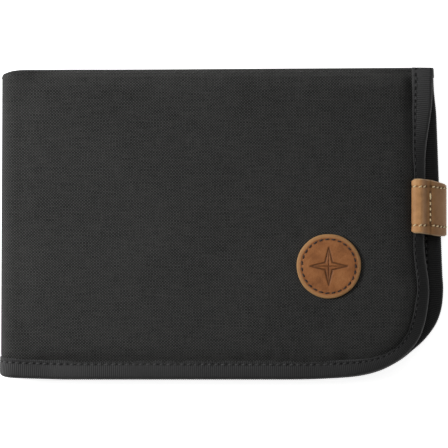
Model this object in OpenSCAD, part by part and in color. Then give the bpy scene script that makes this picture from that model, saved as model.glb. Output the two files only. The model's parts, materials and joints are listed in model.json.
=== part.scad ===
// Bifold passport holder wallet, closed, lying on its back cover.
// Millimetres. +Z up, +X towards the opening edge, +Y towards the turned top edge.
// Origin: middle of the back cover's flat outer face.

/* [Covers] */
// Height of the covers, turned top edge to bound bottom edge
wallet_h = 106; // [105:0.5:112]
// Distance from the origin to the outside of the spine
spine_x = 75.4; // [74:0.2:79]
// Distance from the origin to the front cover's opening edge
front_x = 70.4; // [69.6:0.1:71]
// Distance from the origin to the back cover's opening edge
back_x = 73.9; // [73.5:0.1:75.5]
// Radius of the front cover's rounded lower corner
corner_r = 29; // [25:0.5:31]
// How much larger the back cover's corner radius is
corner_more = 3; // [0:0.5:4]
// How far the front cover's opening edge is drawn in where the leather loop holds it
edge_dip = 2; // [1.5:0.1:2.2]
// How much lower the top edge is at the spine than at the opening edge
top_fall = 0.9; // [0:0.1:1.4]

/* [Layers] */
// Thickness of the outer canvas
shell_t = 0.6; // [0.4:0.1:0.6]
// Thickness of the foam padding
foam_t = 1.3; // [0.8:0.1:1.3]
// Thickness of the lining cloth
lining_t = 0.3; // [0.2:0.05:0.3]
// Thickness of the inner pocket panels
panel_t = 0.4; // [0.3:0.05:0.4]
// How far the sewn rims sit inside the covers' outer faces
rim_step = 2.5; // [2.4:0.1:2.5]
// Room in the passport pocket
passport_room = 4.4; // [3.4:0.1:4.8]
// Room in each card pocket
card_room = 1.0; // [0.9:0.05:1.2]

/* [Binding] */
// Visible width of the folded edge tape
tape_w = 6.5; // [6:0.25:7]
// Thickness of the edge tape
tape_t = 0.6; // [0.4:0.05:0.6]
// Distance of the seam from the tape's inner edge
seam_in = 0.9; // [0.6:0.1:1.4]

/* [Spine] */
// Radius of the two folds along the spine
fold_r = 5; // [4.4:0.1:5.2]

/* [Badge] */
// Diameter of the leather badge
badge_d = 21.8; // [18:0.2:24]
// Thickness of the leather
leather_t = 1.3; // [1:0.1:1.4]
// Badge centre, towards the opening edge
badge_x = 35.4; // [30:0.2:42]
// Badge centre, towards the top edge
badge_y = -14.4; // [-18:0.2:0]

/* [Loop] */
// Length of the leather loop along the edge
loop_l = 19; // [16:0.2:20]
// Middle of the leather loop, above the middle of the cover
loop_y = 5.4; // [4:0.1:7]

/* [Zip] */
// Height of the zip above the middle of the cover
zip_y = 31; // [29.5:0.1:31.5]
// Length of the zip chain
zip_l = 116; // [100:1:116]

/* [Hidden] */
$fn = 48;

// Colours
canvas_col = [0.16, 0.16, 0.17];
foam_col = [0.75, 0.75, 0.72];
lining_col = [0.11, 0.11, 0.12];
binding_col = [0.13, 0.13, 0.14];
thread_col = [0.05, 0.05, 0.05];
zip_panel_col = [0.14, 0.14, 0.15];
pocket_col = [0.15, 0.15, 0.16];
zip_tape_col = [0.07, 0.07, 0.075];
coil_col = [0.05, 0.05, 0.055];
stop_col = [0.55, 0.53, 0.5];
metal_col = [0.5, 0.48, 0.45];
leather_col = [0.55, 0.33, 0.16];
badge_thread_col = [0.2, 0.1, 0.06];
sleeve_col = [0.6, 0.4, 0.22];
tail_col = [0.5, 0.33, 0.18];
loop_thread_col = [0.82, 0.66, 0.42];

BACK = 0;
FRONT = 1;
gap = 0.05;                                 // left between neighbouring layers
past = 9;                                   // how far cutting outlines run past an edge
top = wallet_h / 2;
bottom = -wallet_h / 2;
flat_x = -spine_x + fold_r + 0.2;           // where the flat part of a cover starts

// Insets from the bound edges, and from the top edge, of each layer's step up
web = tape_t + gap;                         // sewn layers stop this far inside the bound edge
shell_wall = tape_w + 0.1;
lining_wall = tape_w + 0.8;
pocket_wall = tape_w + 0.5;
hem_w = 3.2;                                // how far the top edge is turned in
shell_top = 2.2;
lining_top = 2.9;
pocket_top = hem_w + 0.2;

// Depths below a cover's outer face
foam_depth = shell_t + gap;
lining_depth = foam_depth + foam_t + gap;
rim_lining_depth = rim_step + shell_t + gap;
rim_panel_depth = rim_lining_depth + lining_t + gap;
tape_in_depth = rim_panel_depth + panel_t + gap;    // inner leg of the binding
tape_out_depth = rim_step - gap - tape_t;           // outer leg of the binding
rim_end = tape_in_depth + tape_t;

// Heights above the back cover's outer face
lining_z = lining_depth + lining_t;         // inner face of the lining
panel_z = rim_panel_depth;                  // underside of the zip panels
card_rear_z = panel_z + panel_t + card_room;
card_front_z = card_rear_z + panel_t + card_room;
passport_z = card_front_z + panel_t + 0.5;  // underside of the passport pocket
closed_t = passport_z + panel_t + passport_room + lining_z;

// Stitching
thread_t = 0.23;
thread_w = 0.4;
thread_gap = 0.02;
thread_depths = [-thread_gap - thread_t + tape_out_depth, rim_end + thread_gap];
top_thread_depths = [-thread_gap - thread_t + rim_step, rim_end + thread_gap];
top_seam = 1.2;                             // inset of the top seam

// ---- Helpers ----

function rev(list) = [for (i = [len(list) - 1:-1:0]) list[i]];
// Smooth step from 0 at y = start to 1 at y = end
function ramp(y, start, end) =
    let (c = min(1, max(0, (y - start) / (end - start)))) c * c * (3 - 2 * c);

module slab(z, thick) { translate([0, 0, z]) linear_extrude(height = thick) children(); }
// Rectangle given by its centre and size
module bar(centre, size) { translate(centre - size / 2) square(size); }
// XZ profile extruded from y0 to y1
module profile_y(y0, y1) {
    translate([0, y1, 0]) rotate([90, 0, 0]) linear_extrude(height = y1 - y0) children();
}

// ---- Cover outline ----

// Both opening edges lean slightly; slopes are X per Y
front_slope = 0.0139;
back_slope = -0.0377;
// The dip in the front edge fades in between these Y values at either end: [none, full]
dip_upper = [44, 22];
dip_lower = [-24, -6];
edge_steps = 16;
corner_steps = 10;

function front_edge(y) = front_x + front_slope * (y - 15)
    - edge_dip * ramp(y, dip_upper[0], dip_upper[1]) * ramp(y, dip_lower[0], dip_lower[1]);
function back_edge(y) = back_x + back_slope * (y - 5);
function edge_x(cover, y) = cover == FRONT ? front_edge(y) : back_edge(y);
function top_y(x, top_inset) =
    top - top_inset - top_fall * (front_x - x) / (front_x - flat_x);

// inset applies to the bound edges, top_inset to the top edge; start_x is the spine side
function cover_pts(cover, inset, top_inset, start_x) =
    let (r = corner_r + (cover == FRONT ? 0 : corner_more),
         corner_y = bottom + r,
         corner_x = edge_x(cover, corner_y) - r,
         edge_top = top_y(edge_x(cover, top) - inset, top_inset))
    concat([[start_x, top_y(start_x, top_inset)]],
           [for (i = [0:edge_steps])
               let (y = edge_top + (corner_y - edge_top) * i / edge_steps)
               [edge_x(cover, y) - inset, y]],
           [for (i = [1:corner_steps])
               let (a = -90 * i / corner_steps)
               [corner_x + (r - inset) * cos(a), corner_y + (r - inset) * sin(a)]],
           [[start_x, bottom + inset]]);

module area(cover, inset, top_inset, start_x = flat_x) {
    polygon(cover_pts(cover, inset, top_inset, start_x));
}
// Strip along the bound edges only
module bound_band(cover, outer, inner, top_inset = 0, start_x = flat_x) {
    difference() {
        area(cover, outer, top_inset, start_x);
        area(cover, inner, top_inset - past, start_x - past);
    }
}
// Strip along the top edge only
module top_band(cover, outer, inner, inset, start_x = flat_x) {
    difference() {
        area(cover, inset, outer, start_x);
        area(cover, -past, inner, start_x - past);
    }
}

// ---- Cover layers ----

// Depths become heights: the front cover is turned over on top
module place(cover) {
    if (cover == FRONT) translate([0, 0, closed_t]) mirror([0, 0, 1]) children();
    else children();
}

// Sewn rim on the bound and top edges and an offset middle, joined by a wall
module tray(cover, rim, middle, thick, wall, top_wall, inset, top_inset, start_x = flat_x) {
    slab(rim, thick) difference() {
        area(cover, inset, top_inset, start_x);
        area(cover, wall + thick, top_wall + thick, start_x - past);
    }
    slab(middle, thick) area(cover, wall, top_wall, start_x);
    slab(min(rim, middle), abs(rim - middle) + thick) difference() {
        area(cover, wall, top_wall, start_x);
        area(cover, wall + thick, top_wall + thick, start_x - past);
    }
}

module shell(cover) {
    color(canvas_col) place(cover) {
        tray(cover, rim_step, 0, shell_t, shell_wall, shell_top, web, 0);
        // top edge turned in over the lining
        slab(rim_step, rim_end - rim_step) top_band(cover, 0, shell_t, shell_wall);
        slab(tape_in_depth, tape_t) top_band(cover, 0, hem_w, shell_wall);
    }
}
module foam(cover) {
    inside = shell_t + gap;
    color(foam_col) place(cover) slab(foam_depth, foam_t)
        area(cover, shell_wall + inside, shell_top + inside, flat_x + 1);
}
module lining(cover) {
    color(lining_col) place(cover)
        tray(cover, rim_lining_depth, lining_depth, lining_t, lining_wall, lining_top,
             web, shell_t + gap, flat_x + 0.6);
}
module binding(cover) {
    color(binding_col) place(cover) {
        for (depth = [tape_out_depth, tape_in_depth])
            slab(depth, tape_t) bound_band(cover, 0, tape_w);
        slab(tape_out_depth, rim_end - tape_out_depth) bound_band(cover, 0, tape_t);
    }
}
module binding_thread(cover) {
    seam = tape_w - seam_in;
    color(thread_col) place(cover) for (depth = thread_depths)
        slab(depth, thread_t)
            bound_band(cover, seam - thread_w / 2, seam + thread_w / 2, 0.4, flat_x + 0.4);
}
module top_thread(cover) {
    color(thread_col) place(cover) for (depth = top_thread_depths)
        slab(depth, thread_t)
            top_band(cover, top_seam, top_seam + thread_w, tape_w + 0.3, flat_x + 0.4);
}

module back_shell() { shell(BACK); }
module back_foam() { foam(BACK); }
module back_lining() { lining(BACK); }
module back_binding() { binding(BACK); }
module back_binding_thread() { binding_thread(BACK); }
module back_top_thread() { top_thread(BACK); }
module front_shell() { shell(FRONT); }
module front_foam() { foam(FRONT); }
module front_lining() { lining(FRONT); }
module front_binding() { binding(FRONT); }
module front_binding_thread() { binding_thread(FRONT); }
module front_top_thread() { top_thread(FRONT); }

passport_start_x = -52;
module passport_pocket() {
    color(pocket_col) place(FRONT)
        tray(FRONT, rim_panel_depth, closed_t - passport_z - panel_t, panel_t,
             pocket_wall, pocket_top, web, shell_t + gap, passport_start_x);
}

// ---- Spine ----

fold_steps = 8;
spine_lining_depth = web + shell_t + gap;
spine_tape_depth = spine_lining_depth + lining_t + gap;     // inner leg of the binding
spine_joggle = 0.3;     // width of the step where the shell goes under the tape

// XZ line round both folds at a depth below the outside. Each end stops at start_angle,
// measured from where the fold meets the cover's outer face.
function spine_curve(depth, start_angle) =
    let (r = fold_r - depth,
         lower = [for (i = [0:fold_steps])
             let (a = start_angle + (90 - start_angle) * i / fold_steps)
             [-spine_x + fold_r - r * sin(a), fold_r - r * cos(a)]])
    concat(lower, [for (p = rev(lower)) [p[0], closed_t - p[1]]]);

module spine_strip(depth, thick, start_angle, y0, y1) {
    profile_y(y0, y1)
        polygon(concat(spine_curve(depth, start_angle),
                       rev(spine_curve(depth + thick, start_angle))));
}
module spine_shell() {
    step_y = bottom + shell_wall;
    color(canvas_col) {
        spine_strip(0, shell_t, 6, step_y, top - top_fall);
        // sunk edge under the tape, and the step down to it
        spine_strip(web, shell_t, 10, bottom + web, step_y + spine_joggle);
        spine_strip(0, web + shell_t, 10, step_y, step_y + spine_joggle);
    }
}
module spine_lining() {
    color(lining_col)
        spine_strip(spine_lining_depth, lining_t, 16, bottom + web, top - top_fall - shell_t);
}
module spine_binding() {
    color(binding_col) {
        spine_strip(0, tape_t, 10, bottom, bottom + tape_w);
        spine_strip(spine_tape_depth, tape_t, 24, bottom, bottom + tape_w);
        spine_strip(0, spine_tape_depth + tape_t, 24, bottom, bottom + tape_t);
    }
}

// ---- Zip panels on the back cover ----

zip_opening = 4;                            // from the zip's middle line to each panel
panel_start_x = flat_x + 2;
upper_wall_h = 10;
lower_wall_y = -38;

// Panel between two Y values, with a wall down to the lining on its spine side
module zip_panel(y0, y1, wall_y0, wall_y1, top_inset) {
    color(zip_panel_col) {
        slab(panel_z, panel_t) intersection() {
            area(BACK, web, top_inset, panel_start_x);
            translate([-100, y0]) square([200, y1 - y0]);
        }
        slab(lining_z + gap, panel_z - lining_z)
            translate([panel_start_x, wall_y0]) square([panel_t, wall_y1 - wall_y0]);
    }
}
module zip_panel_upper() {
    edge_y = zip_y + zip_opening;
    zip_panel(edge_y, 90, edge_y, edge_y + upper_wall_h, shell_t + gap);
}
module zip_panel_lower() {
    edge_y = zip_y - zip_opening;
    zip_panel(-90, edge_y, lower_wall_y, edge_y, 0);
}

// ---- Zip ----

zip_x = 0.5;                                // middle of the zip chain
zip_part = 0.4;                             // from the middle line to each half
zip_tape_w = 6;
zip_tape_t = 0.3;
zip_tape_more = 4;                          // tape beyond each end of the chain
coil_w = 1.8;
coil_t = 1.1;
stop_w = 1.8;

// Strip along one side of the zip's middle line: side 1 is upper, -1 lower
module zip_strip(side, length, width) {
    bar([zip_x, zip_y + side * (zip_part + width / 2)], [length, width]);
}
module zip_tape(side) {
    color(zip_tape_col) slab(panel_z - gap - zip_tape_t, zip_tape_t)
        zip_strip(side, zip_l + 2 * zip_tape_more, zip_tape_w);
}
module zip_coil(side) {
    color(coil_col) slab(panel_z, coil_t) zip_strip(side, zip_l, coil_w);
}
module zip_tape_upper() { zip_tape(1); }
module zip_tape_lower() { zip_tape(-1); }
module zip_coil_upper() { zip_coil(1); }
module zip_coil_lower() { zip_coil(-1); }
module zip_stops() {
    color(stop_col) for (side = [-1, 1]) slab(panel_z, 1.25)
        bar([zip_x + side * (zip_l / 2 + 1.2), zip_y], [stop_w, 2 * (zip_part + coil_w)]);
}

// Slider and pull; heights are above panel_z
slider_x = 46;                              // slider's middle with the zip shut
plate_t = 0.6;
plate_size = [9, 6.4];
plate_trim = 9.32;                          // side of the turned square that trims the corners
plate_low = -1.05;
plate_high = 1.25;
post_x = 1.6;
post_size = [0.7, 1.2];
puller_t = 0.8;
puller_low = 1.98;
puller_w = 5;
puller_end = -8.4;                          // far end of the arms from the slider's middle
arm_w = 0.7;
arm_l = 8.7;
cross_w = 1;
tab_t = 1.8;

module at_slider(z = 0) { translate([slider_x, zip_y, z]) children(); }
module slider_plate() {
    intersection() {
        square(plate_size, center = true);
        rotate(45) square([plate_trim, plate_trim], center = true);
    }
}
module zip_slider() {
    color(metal_col) at_slider() {
        for (z = [plate_low, plate_high]) slab(panel_z + z, plate_t) slider_plate();
        // web between the coils, joining the plates
        slab(panel_z + plate_low, plate_high + plate_t - plate_low) bar([0, 0], [3.2, 0.44]);
        // side walls
        for (side = [-1, 1]) slab(panel_z + 0.1, 1.3) bar([0, side * 2.85], [7.2, 0.7]);
        // bridge over the pull's bar
        for (side = [-1, 1]) slab(panel_z + 1.8, 1.3) bar([side * post_x, 0], post_size);
        slab(panel_z + 2.85, 0.45) bar([0, 0], [2 * post_x + post_size[0], post_size[1]]);
    }
}
module zip_puller() {
    // bar under the bridge, two arms and a cross bar lying along the chain
    color(metal_col) at_slider() {
        translate([0, puller_w / 2, panel_z + puller_low + puller_t / 2])
            rotate([90, 0, 0]) cylinder(h = puller_w, r = puller_t / 2);
        for (side = [-1, 1]) slab(panel_z + puller_low, puller_t)
            bar([puller_end + arm_l / 2, side * (puller_w - arm_w) / 2], [arm_l, arm_w]);
        slab(panel_z + puller_low, puller_t)
            bar([puller_end + cross_w / 2, 0], [cross_w, puller_w]);
    }
}

// Upper half of the leather tab's outline: X from the slider's middle, half width
tab_half = [[-6.6, 1.7], [-8.6, 1.7], [-9.6, 2.8], [-21, 2.8], [-22, 1.8]];
module zip_pull_tab() {
    slot_t = puller_t + 2 * gap;
    // leather strip folded round the cross bar
    color(leather_col) at_slider(panel_z + puller_low + (puller_t - tab_t) / 2) difference() {
        linear_extrude(height = tab_t)
            polygon(concat(tab_half, [for (p = rev(tab_half)) [p[0], -p[1]]]));
        translate([puller_end - gap, -4, (tab_t - slot_t) / 2])
            cube([cross_w + 2 * gap, 8, slot_t]);
    }
}

// ---- Card pockets ----

card_x1 = -40;
card_x2 = 49.4;
card_base_z = panel_z + panel_t + gap;

// Face at height z with side and bottom walls down to the lower zip panel, open at the top
module card_pocket(x1, x2, y1, y2, z) {
    wall_h = z - card_base_z + panel_t;
    color(pocket_col) {
        slab(z, panel_t) translate([x1, y1]) square([x2 - x1, y2 - y1]);
        for (x = [x1, x2 - panel_t])
            slab(card_base_z, wall_h) translate([x, y1]) square([panel_t, y2 - y1]);
        slab(card_base_z, wall_h) translate([x1, y1]) square([x2 - x1, panel_t]);
    }
}
module card_pocket_rear() { card_pocket(card_x1, card_x2, -38, 10, card_rear_z); }
module card_pocket_front() {
    card_pocket(card_x1 - 0.6, card_x2 + 0.6, -42.4, -4, card_front_z);
}

// ---- Badge ----

module badge() {
    color(leather_col) translate([badge_x, badge_y, closed_t])
        cylinder(h = leather_t, d = badge_d, $fn = 96);
}
module badge_thread() {
    color(badge_thread_col) translate([badge_x, badge_y, closed_t + leather_t]) difference() {
        cylinder(h = 0.25, d = badge_d - 3, $fn = 96);
        translate([0, 0, -1]) cylinder(h = 3, d = badge_d - 3.9, $fn = 96);
    }
}

// ---- Leather loop ----
// A sleeve round the front cover's bound edge, and a tail turned down over the back cover's edge

sleeve_x = 63.5;                                // sleeve's inner end
sleeve_seam_x = 64;
sleeve_edge = front_edge(loop_y + loop_l / 2);  // the bound edge inside the sleeve
sleeve_top = closed_t - tape_out_depth + 0.1;   // upper and lower inner faces
sleeve_low = closed_t - rim_end - 0.1;
flex_x = sleeve_edge + leather_t + 1.0;         // where the tail flexes
flex_z = (sleeve_low + sleeve_top) / 2 - 0.1;
flex_r = 0.62;
tail_edge = back_edge(loop_y - loop_l / 2);     // back edge where it stands out most by the loop
tail_low = 2.6;

module loop_span() {
    profile_y(loop_y - loop_l / 2, loop_y + loop_l / 2) children();
}
// A seam along each side of the loop
module loop_seams() {
    for (side = [-1, 1]) {
        y = loop_y + side * (loop_l / 2 - 1.7);
        profile_y(y - thread_w / 2, y + thread_w / 2) children();
    }
}
module loop_sleeve() {
    inner_x = sleeve_edge + 0.15;
    shoulder_x = sleeve_edge + 0.3;
    color(sleeve_col) loop_span() polygon([
        [sleeve_x, sleeve_top],
        [inner_x, sleeve_top],
        [inner_x, sleeve_low],
        [sleeve_x, sleeve_low],
        [sleeve_x, sleeve_low - leather_t],
        [shoulder_x, sleeve_low - leather_t],
        [inner_x + leather_t, flex_z - 0.6],
        [inner_x + leather_t, flex_z + 0.6],
        [shoulder_x, sleeve_top + leather_t],
        [sleeve_x, sleeve_top + leather_t]]);
}
module loop_sleeve_thread() {
    color(loop_thread_col) loop_seams()
        translate([sleeve_seam_x, sleeve_top + leather_t + thread_gap])
            square([sleeve_edge + 0.2 - sleeve_seam_x, thread_t]);
}

// XZ outline of the tail: outer face going down, inner face coming back up
tail_outer = [[flex_x, flex_z + flex_r],
              [flex_x + 1.8, flex_z + 0.6],
              [tail_edge + 0.5, flex_z - 0.2],
              [tail_edge + 1.5, flex_z - 1.7],
              [tail_edge + 1.8, tail_low]];
tail_inner = [[tail_edge + 0.5, tail_low],
              [tail_edge + 0.35, flex_z - 2.2],
              [tail_edge - 0.4, flex_z - 1.35],
              [flex_x + 1.7, flex_z - 0.7],
              [flex_x, flex_z - flex_r]];
module loop_tail() {
    rounded_end = [for (a = [252:-18:108]) [flex_x + flex_r * cos(a), flex_z + flex_r * sin(a)]];
    color(tail_col) loop_span() polygon(concat(tail_outer, tail_inner, rounded_end));
}
module loop_tail_thread() {
    seam_top = flex_z - 1.72;
    seam_low = 3.2;
    color(loop_thread_col) loop_seams() polygon([
        [tail_edge + 1.56, seam_top],
        [tail_edge + 1.8, seam_low],
        [tail_edge + 2.04, seam_low],
        [tail_edge + 1.8, seam_top]]);
}

back_shell();
back_foam();
back_lining();
zip_panel_upper();
zip_panel_lower();
zip_tape_upper();
zip_tape_lower();
zip_coil_upper();
zip_coil_lower();
zip_stops();
card_pocket_rear();
card_pocket_front();
back_binding();
back_binding_thread();
back_top_thread();
spine_shell();
spine_lining();
spine_binding();
front_shell();
front_foam();
front_lining();
passport_pocket();
front_binding();
front_binding_thread();
front_top_thread();
badge();
badge_thread();
loop_sleeve();
loop_sleeve_thread();
loop_tail();
loop_tail_thread();
zip_slider();
zip_puller();
zip_pull_tab();
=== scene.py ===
# A cloth travel wallet with a leather badge and loop, lying closed on its back cover.
# +z is up: the back cover's outer face is at z = 0 and the front cover's at z = THICK.
# The spine is on the left (-x), the taped edge runs along the bottom (-y) and up the right (+x).
#
# Cloth is laid out in mm as (run, y, depth). run is the distance along the cloth from where a
# cover leaves the spine fold, negative round the fold down to mid-spine. depth is measured
# inwards from the cover's outer face. place() turns these into space.
import json
import math
from collections import namedtuple

import bpy
import numpy as np
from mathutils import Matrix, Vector
from mathutils.geometry import delaunay_2d_cdt

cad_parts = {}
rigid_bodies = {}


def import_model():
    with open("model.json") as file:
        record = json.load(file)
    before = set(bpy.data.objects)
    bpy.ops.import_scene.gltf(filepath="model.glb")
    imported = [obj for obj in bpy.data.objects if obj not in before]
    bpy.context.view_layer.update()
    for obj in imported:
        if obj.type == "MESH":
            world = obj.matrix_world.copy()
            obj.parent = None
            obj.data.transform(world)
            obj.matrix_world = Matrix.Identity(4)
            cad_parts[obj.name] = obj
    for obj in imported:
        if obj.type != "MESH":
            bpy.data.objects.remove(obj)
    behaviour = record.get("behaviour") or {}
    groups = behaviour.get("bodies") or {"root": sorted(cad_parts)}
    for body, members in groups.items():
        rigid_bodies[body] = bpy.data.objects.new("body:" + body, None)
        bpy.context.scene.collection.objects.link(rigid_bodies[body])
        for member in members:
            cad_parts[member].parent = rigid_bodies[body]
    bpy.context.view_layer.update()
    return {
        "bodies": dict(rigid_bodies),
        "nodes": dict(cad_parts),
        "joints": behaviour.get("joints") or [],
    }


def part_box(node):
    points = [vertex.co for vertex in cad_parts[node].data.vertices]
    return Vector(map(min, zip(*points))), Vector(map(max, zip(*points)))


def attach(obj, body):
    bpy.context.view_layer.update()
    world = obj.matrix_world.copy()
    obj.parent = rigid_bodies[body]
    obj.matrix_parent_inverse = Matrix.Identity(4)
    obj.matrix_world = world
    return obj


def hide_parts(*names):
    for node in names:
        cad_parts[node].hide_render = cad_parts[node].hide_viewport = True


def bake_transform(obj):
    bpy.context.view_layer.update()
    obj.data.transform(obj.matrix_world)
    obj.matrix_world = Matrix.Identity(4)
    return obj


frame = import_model()
RNG = np.random.default_rng(72)
COLLECTION = bpy.context.scene.collection
BACK, FRONT = 0, 1
SIDE = ("back", "front")


# ---------------------------------------------------------------- sizes, in mm
def box_mm(node):
    low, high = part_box(node)
    return np.array(low) * 1000.0, np.array(high) * 1000.0


JOINT = {j["name"]: j for j in frame["joints"]}
SPINE_X = box_mm("spine_shell")[0][0]
THICK = box_mm("front_shell")[1][2]
TOP = box_mm("front_binding")[1][1]
BOTTOM = box_mm("front_binding")[0][1]
FOLD_R = JOINT["spine_fold"]["pos_m"][2] * 1000 / (1 - math.cos(math.radians(45)))
FOLD_X = SPINE_X + FOLD_R
FOLD_ARC = FOLD_R * math.pi / 2
MID_SPINE = -(FOLD_ARC + THICK / 2 - FOLD_R)
FRONT_X = 70.4          # right edge of the front cover at y = 15
BACK_X = box_mm("back_binding")[1][0] - 1.017   # right edge of the back cover at y = 5
TOP_FALL = 0.9          # how much lower the top edge is at the spine than at the right
TAPE_W = 6.5            # nominal width of the edge tape
TAPE_RIM = 1.3          # how far in the tape's rounded rim reaches
TAPE_THICK = 0.5
RIM_DIP = 1.2           # how far the front rim curls down where its tape is narrowest

# depths of faces on the flat of a cover
DROOP = 0.45
TAPE_OUT = 1.85 + DROOP
CANVAS_EDGE = 2.5 + DROOP
LINING_EDGE = 3.15 + DROOP
POCKET_EDGE = 3.55 + DROOP
TAPE_IN = HEM_IN = 4.55 + DROOP

HEM = 3.0               # height of cloth turned down inside the top edge
HEM_ROW = 1.35          # hem stitches below the top edge
SEAM = 5.35             # seam stitches in from the bound edge
SEAM_PITCH = 2.32
UV_SCALE = 0.1          # cloth UVs are in cm

ZIP_TOP = box_mm("zip_panel_lower")[1][2] - 0.4
ZIP_Y = 31.0            # centre line of the zip
ZIP_GAP = 4.0           # from the centre line to either panel
BADGE_LOW, BADGE_HIGH = box_mm("badge")
BADGE_MID = (BADGE_LOW + BADGE_HIGH) / 2

# lower right corner of each bound edge (x, y), from the bottom edge round and up
CORNERS = (
    [(38, -52.9), (44.5, -52.4), (49.5, -51.5), (54, -50.1), (58, -48.1), (61.5, -45.9),
     (64.7, -43.2), (67.4, -40.9), (70.1, -37.9), (72.6, -34.2), (74.2, -29.9), (74.85, -25.6),
     (75.0, -20.5)],
    [(32.6, -52.8), (39.4, -52.4), (43.35, -52.0), (47.3, -51.4), (51.1, -50.5), (55.0, -49.0),
     (58.0, -47.5), (60.9, -45.5), (63.4, -43.1), (65.1, -41.1), (66.5, -38.9), (67.6, -36.2),
     (68.6, -32.7), (69.2, -29.3), (69.65, -25.7), (69.8, -22.5)],
)
# front tape: distance along the bound edge, and the tape's width there
FRONT_WIDTH = (
    [0, 54, 100, 121, 129.6, 134.6, 140, 146, 152.5, 158,
     166, 173, 186, 206, 211, 216, 222.6, 227, 233, 250],
    [6.35, 6.35, 6.25, 5.8, 5.2, 4.65, 4.25, 4.15, 4.5, 4.65,
     4.4, 4.0, 3.7, 3.75, 3.95, 4.5, 5.5, 6.45, 6.85, 7.0])
# front tape: distance along the bound edge, and a brightness factor that is painted light:
# painted shade where the tape curls down away from the light round the lower right, painted
# highlight towards both ends
FRONT_PAINTED_LIGHT = (
    [0, 60, 125, 150, 163, 190, 213, 222, 232, 250],
    [1.35, 1.0, 0.90, 0.50, 0.25, 0.21, 0.44, 0.92, 1.28, 1.95])


# ---------------------------------------------------------------- curves
def smooth(t):
    t = np.clip(t, 0.0, 1.0)
    return t * t * (3 - 2 * t)


def bell(offset, width):
    return np.exp(-(offset / width) ** 2)


def catmull_rom(p0, p1, p2, p3, t):
    return 0.5 * (2 * p1 + (p2 - p0) * t + (2 * p0 - 5 * p1 + 4 * p2 - p3) * t ** 2
                  + (3 * p1 - p0 - 3 * p2 + p3) * t ** 3)


def arc_lengths(points):
    return np.concatenate([[0], np.cumsum(np.linalg.norm(np.diff(points, axis=0), axis=1))])


def segment_distance(x, y, start, end):
    dx, dy = end[0] - start[0], end[1] - start[1]
    t = ((x - start[0]) * dx + (y - start[1]) * dy) / max(1e-12, dx * dx + dy * dy)
    t = np.clip(t, 0, 1)
    return np.hypot(x - start[0] - t * dx, y - start[1] - t * dy)


GRID_STEP = 0.5


def sample(grid, start, run, y):
    """Bilinear value at (run, y) of a map whose first cell is at start."""
    i = np.clip((run - start[0]) / GRID_STEP, 0, grid.shape[0] - 1.001)
    j = np.clip((y - start[1]) / GRID_STEP, 0, grid.shape[1] - 1.001)
    i0, j0 = i.astype(int), j.astype(int)
    fi, fj = i - i0, j - j0
    near = grid[i0, j0] * (1 - fi) + grid[i0 + 1, j0] * fi
    far = grid[i0, j0 + 1] * (1 - fi) + grid[i0 + 1, j0 + 1] * fi
    return near * (1 - fj) + far * fj


# ---------------------------------------------------------------- outline of the covers
def edge_x(cover, y):
    """Right edge; the front one is drawn in round the loop."""
    if cover == FRONT:
        drawn_in = 2.0 * smooth((44 - y) / 22) * smooth((y + 24) / 18)
        return FRONT_X + 0.0139 * (y - 15) - drawn_in
    return BACK_X - 0.0377 * (y - 5) - 0.55 * smooth((y - 36) / 11)


def fold_turn(run):
    return np.clip(-run / FOLD_R, 0, math.pi / 2)


def x_of(run):
    return np.where(run >= 0, FOLD_X + run, FOLD_X - FOLD_R * np.sin(fold_turn(run)))


def top_y(run):
    x = x_of(np.asarray(run, float))
    fall = TOP_FALL * (FRONT_X - x) / (FRONT_X - (FOLD_X + 0.2))
    near_spine = np.clip((11 - (x - SPINE_X)) / 11, 0, 1)
    return TOP - fall - 1.3 * near_spine ** 3 + 0.12 * bell(x - SPINE_X - 22, 14)


def top_gap(run, y):
    return top_y(run) - y


Edge = namedtuple("Edge", "arc points normals")


def bound_edge(cover):
    """The taped edge in (run, y): from mid-spine along the bottom and up the right side."""
    first_run, first_y = CORNERS[cover][0][0] - FOLD_X, CORNERS[cover][0][1]
    points = []
    for run in np.arange(MID_SPINE, first_run - 2, 0.5):
        x = float(x_of(run)) - SPINE_X
        lift = (0.9 * np.clip((22 - x) / 22, 0, 1) ** 1.3
                + 0.35 * np.clip((3 - x) / 3, 0, 1) ** 2)
        ease = max(0.0, (run - (first_run - 12)) / 12) ** 2
        points.append((run, BOTTOM + lift + (first_y - BOTTOM) * ease))
    corner = np.array(CORNERS[cover]) - np.array([FOLD_X, 0])
    end_y = corner[-1, 1] + 4
    knots = np.vstack([points[-1], corner, (float(edge_x(cover, end_y)) - FOLD_X, end_y)])
    for i in range(1, len(knots) - 2):
        for t in np.linspace(0, 1, 10, endpoint=False):
            points.append(tuple(catmull_rom(*knots[i - 1:i + 3], t)))
    for y in np.linspace(corner[-1, 1] + 2, TOP - 0.1, 160):
        points.append((float(edge_x(cover, y)) - FOLD_X, y))

    rough = np.array(points)
    lengths = arc_lengths(rough)
    arc = np.linspace(0, lengths[-1], int(lengths[-1] / 0.25))
    even = np.stack([np.interp(arc, lengths, rough[:, 0]),
                     np.interp(arc, lengths, rough[:, 1])], 1)
    for _ in range(40):
        even[1:-1] = 0.25 * even[:-2] + 0.5 * even[1:-1] + 0.25 * even[2:]
    tangents = np.gradient(even, axis=0)
    tangents /= np.linalg.norm(tangents, axis=1)[:, None]
    return Edge(arc, even, np.stack([-tangents[:, 1], tangents[:, 0]], 1))


EDGES = [bound_edge(BACK), bound_edge(FRONT)]


def edge_frame(cover, arc):
    """Run and y of the bound edge at arc, then the two parts of its inward normal."""
    edge = EDGES[cover]
    return [np.interp(arc, edge.arc, column) for column in (*edge.points.T, *edge.normals.T)]


def averaged(table, arc, step):
    """A table along the edge, averaged over five places a step apart."""
    return sum(np.interp(arc + step * i, *table) for i in range(-2, 3)) / 5


def tape_width(cover, arc):
    return TAPE_W + 0 * arc if cover == BACK else averaged(FRONT_WIDTH, arc, 1.5)


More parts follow.
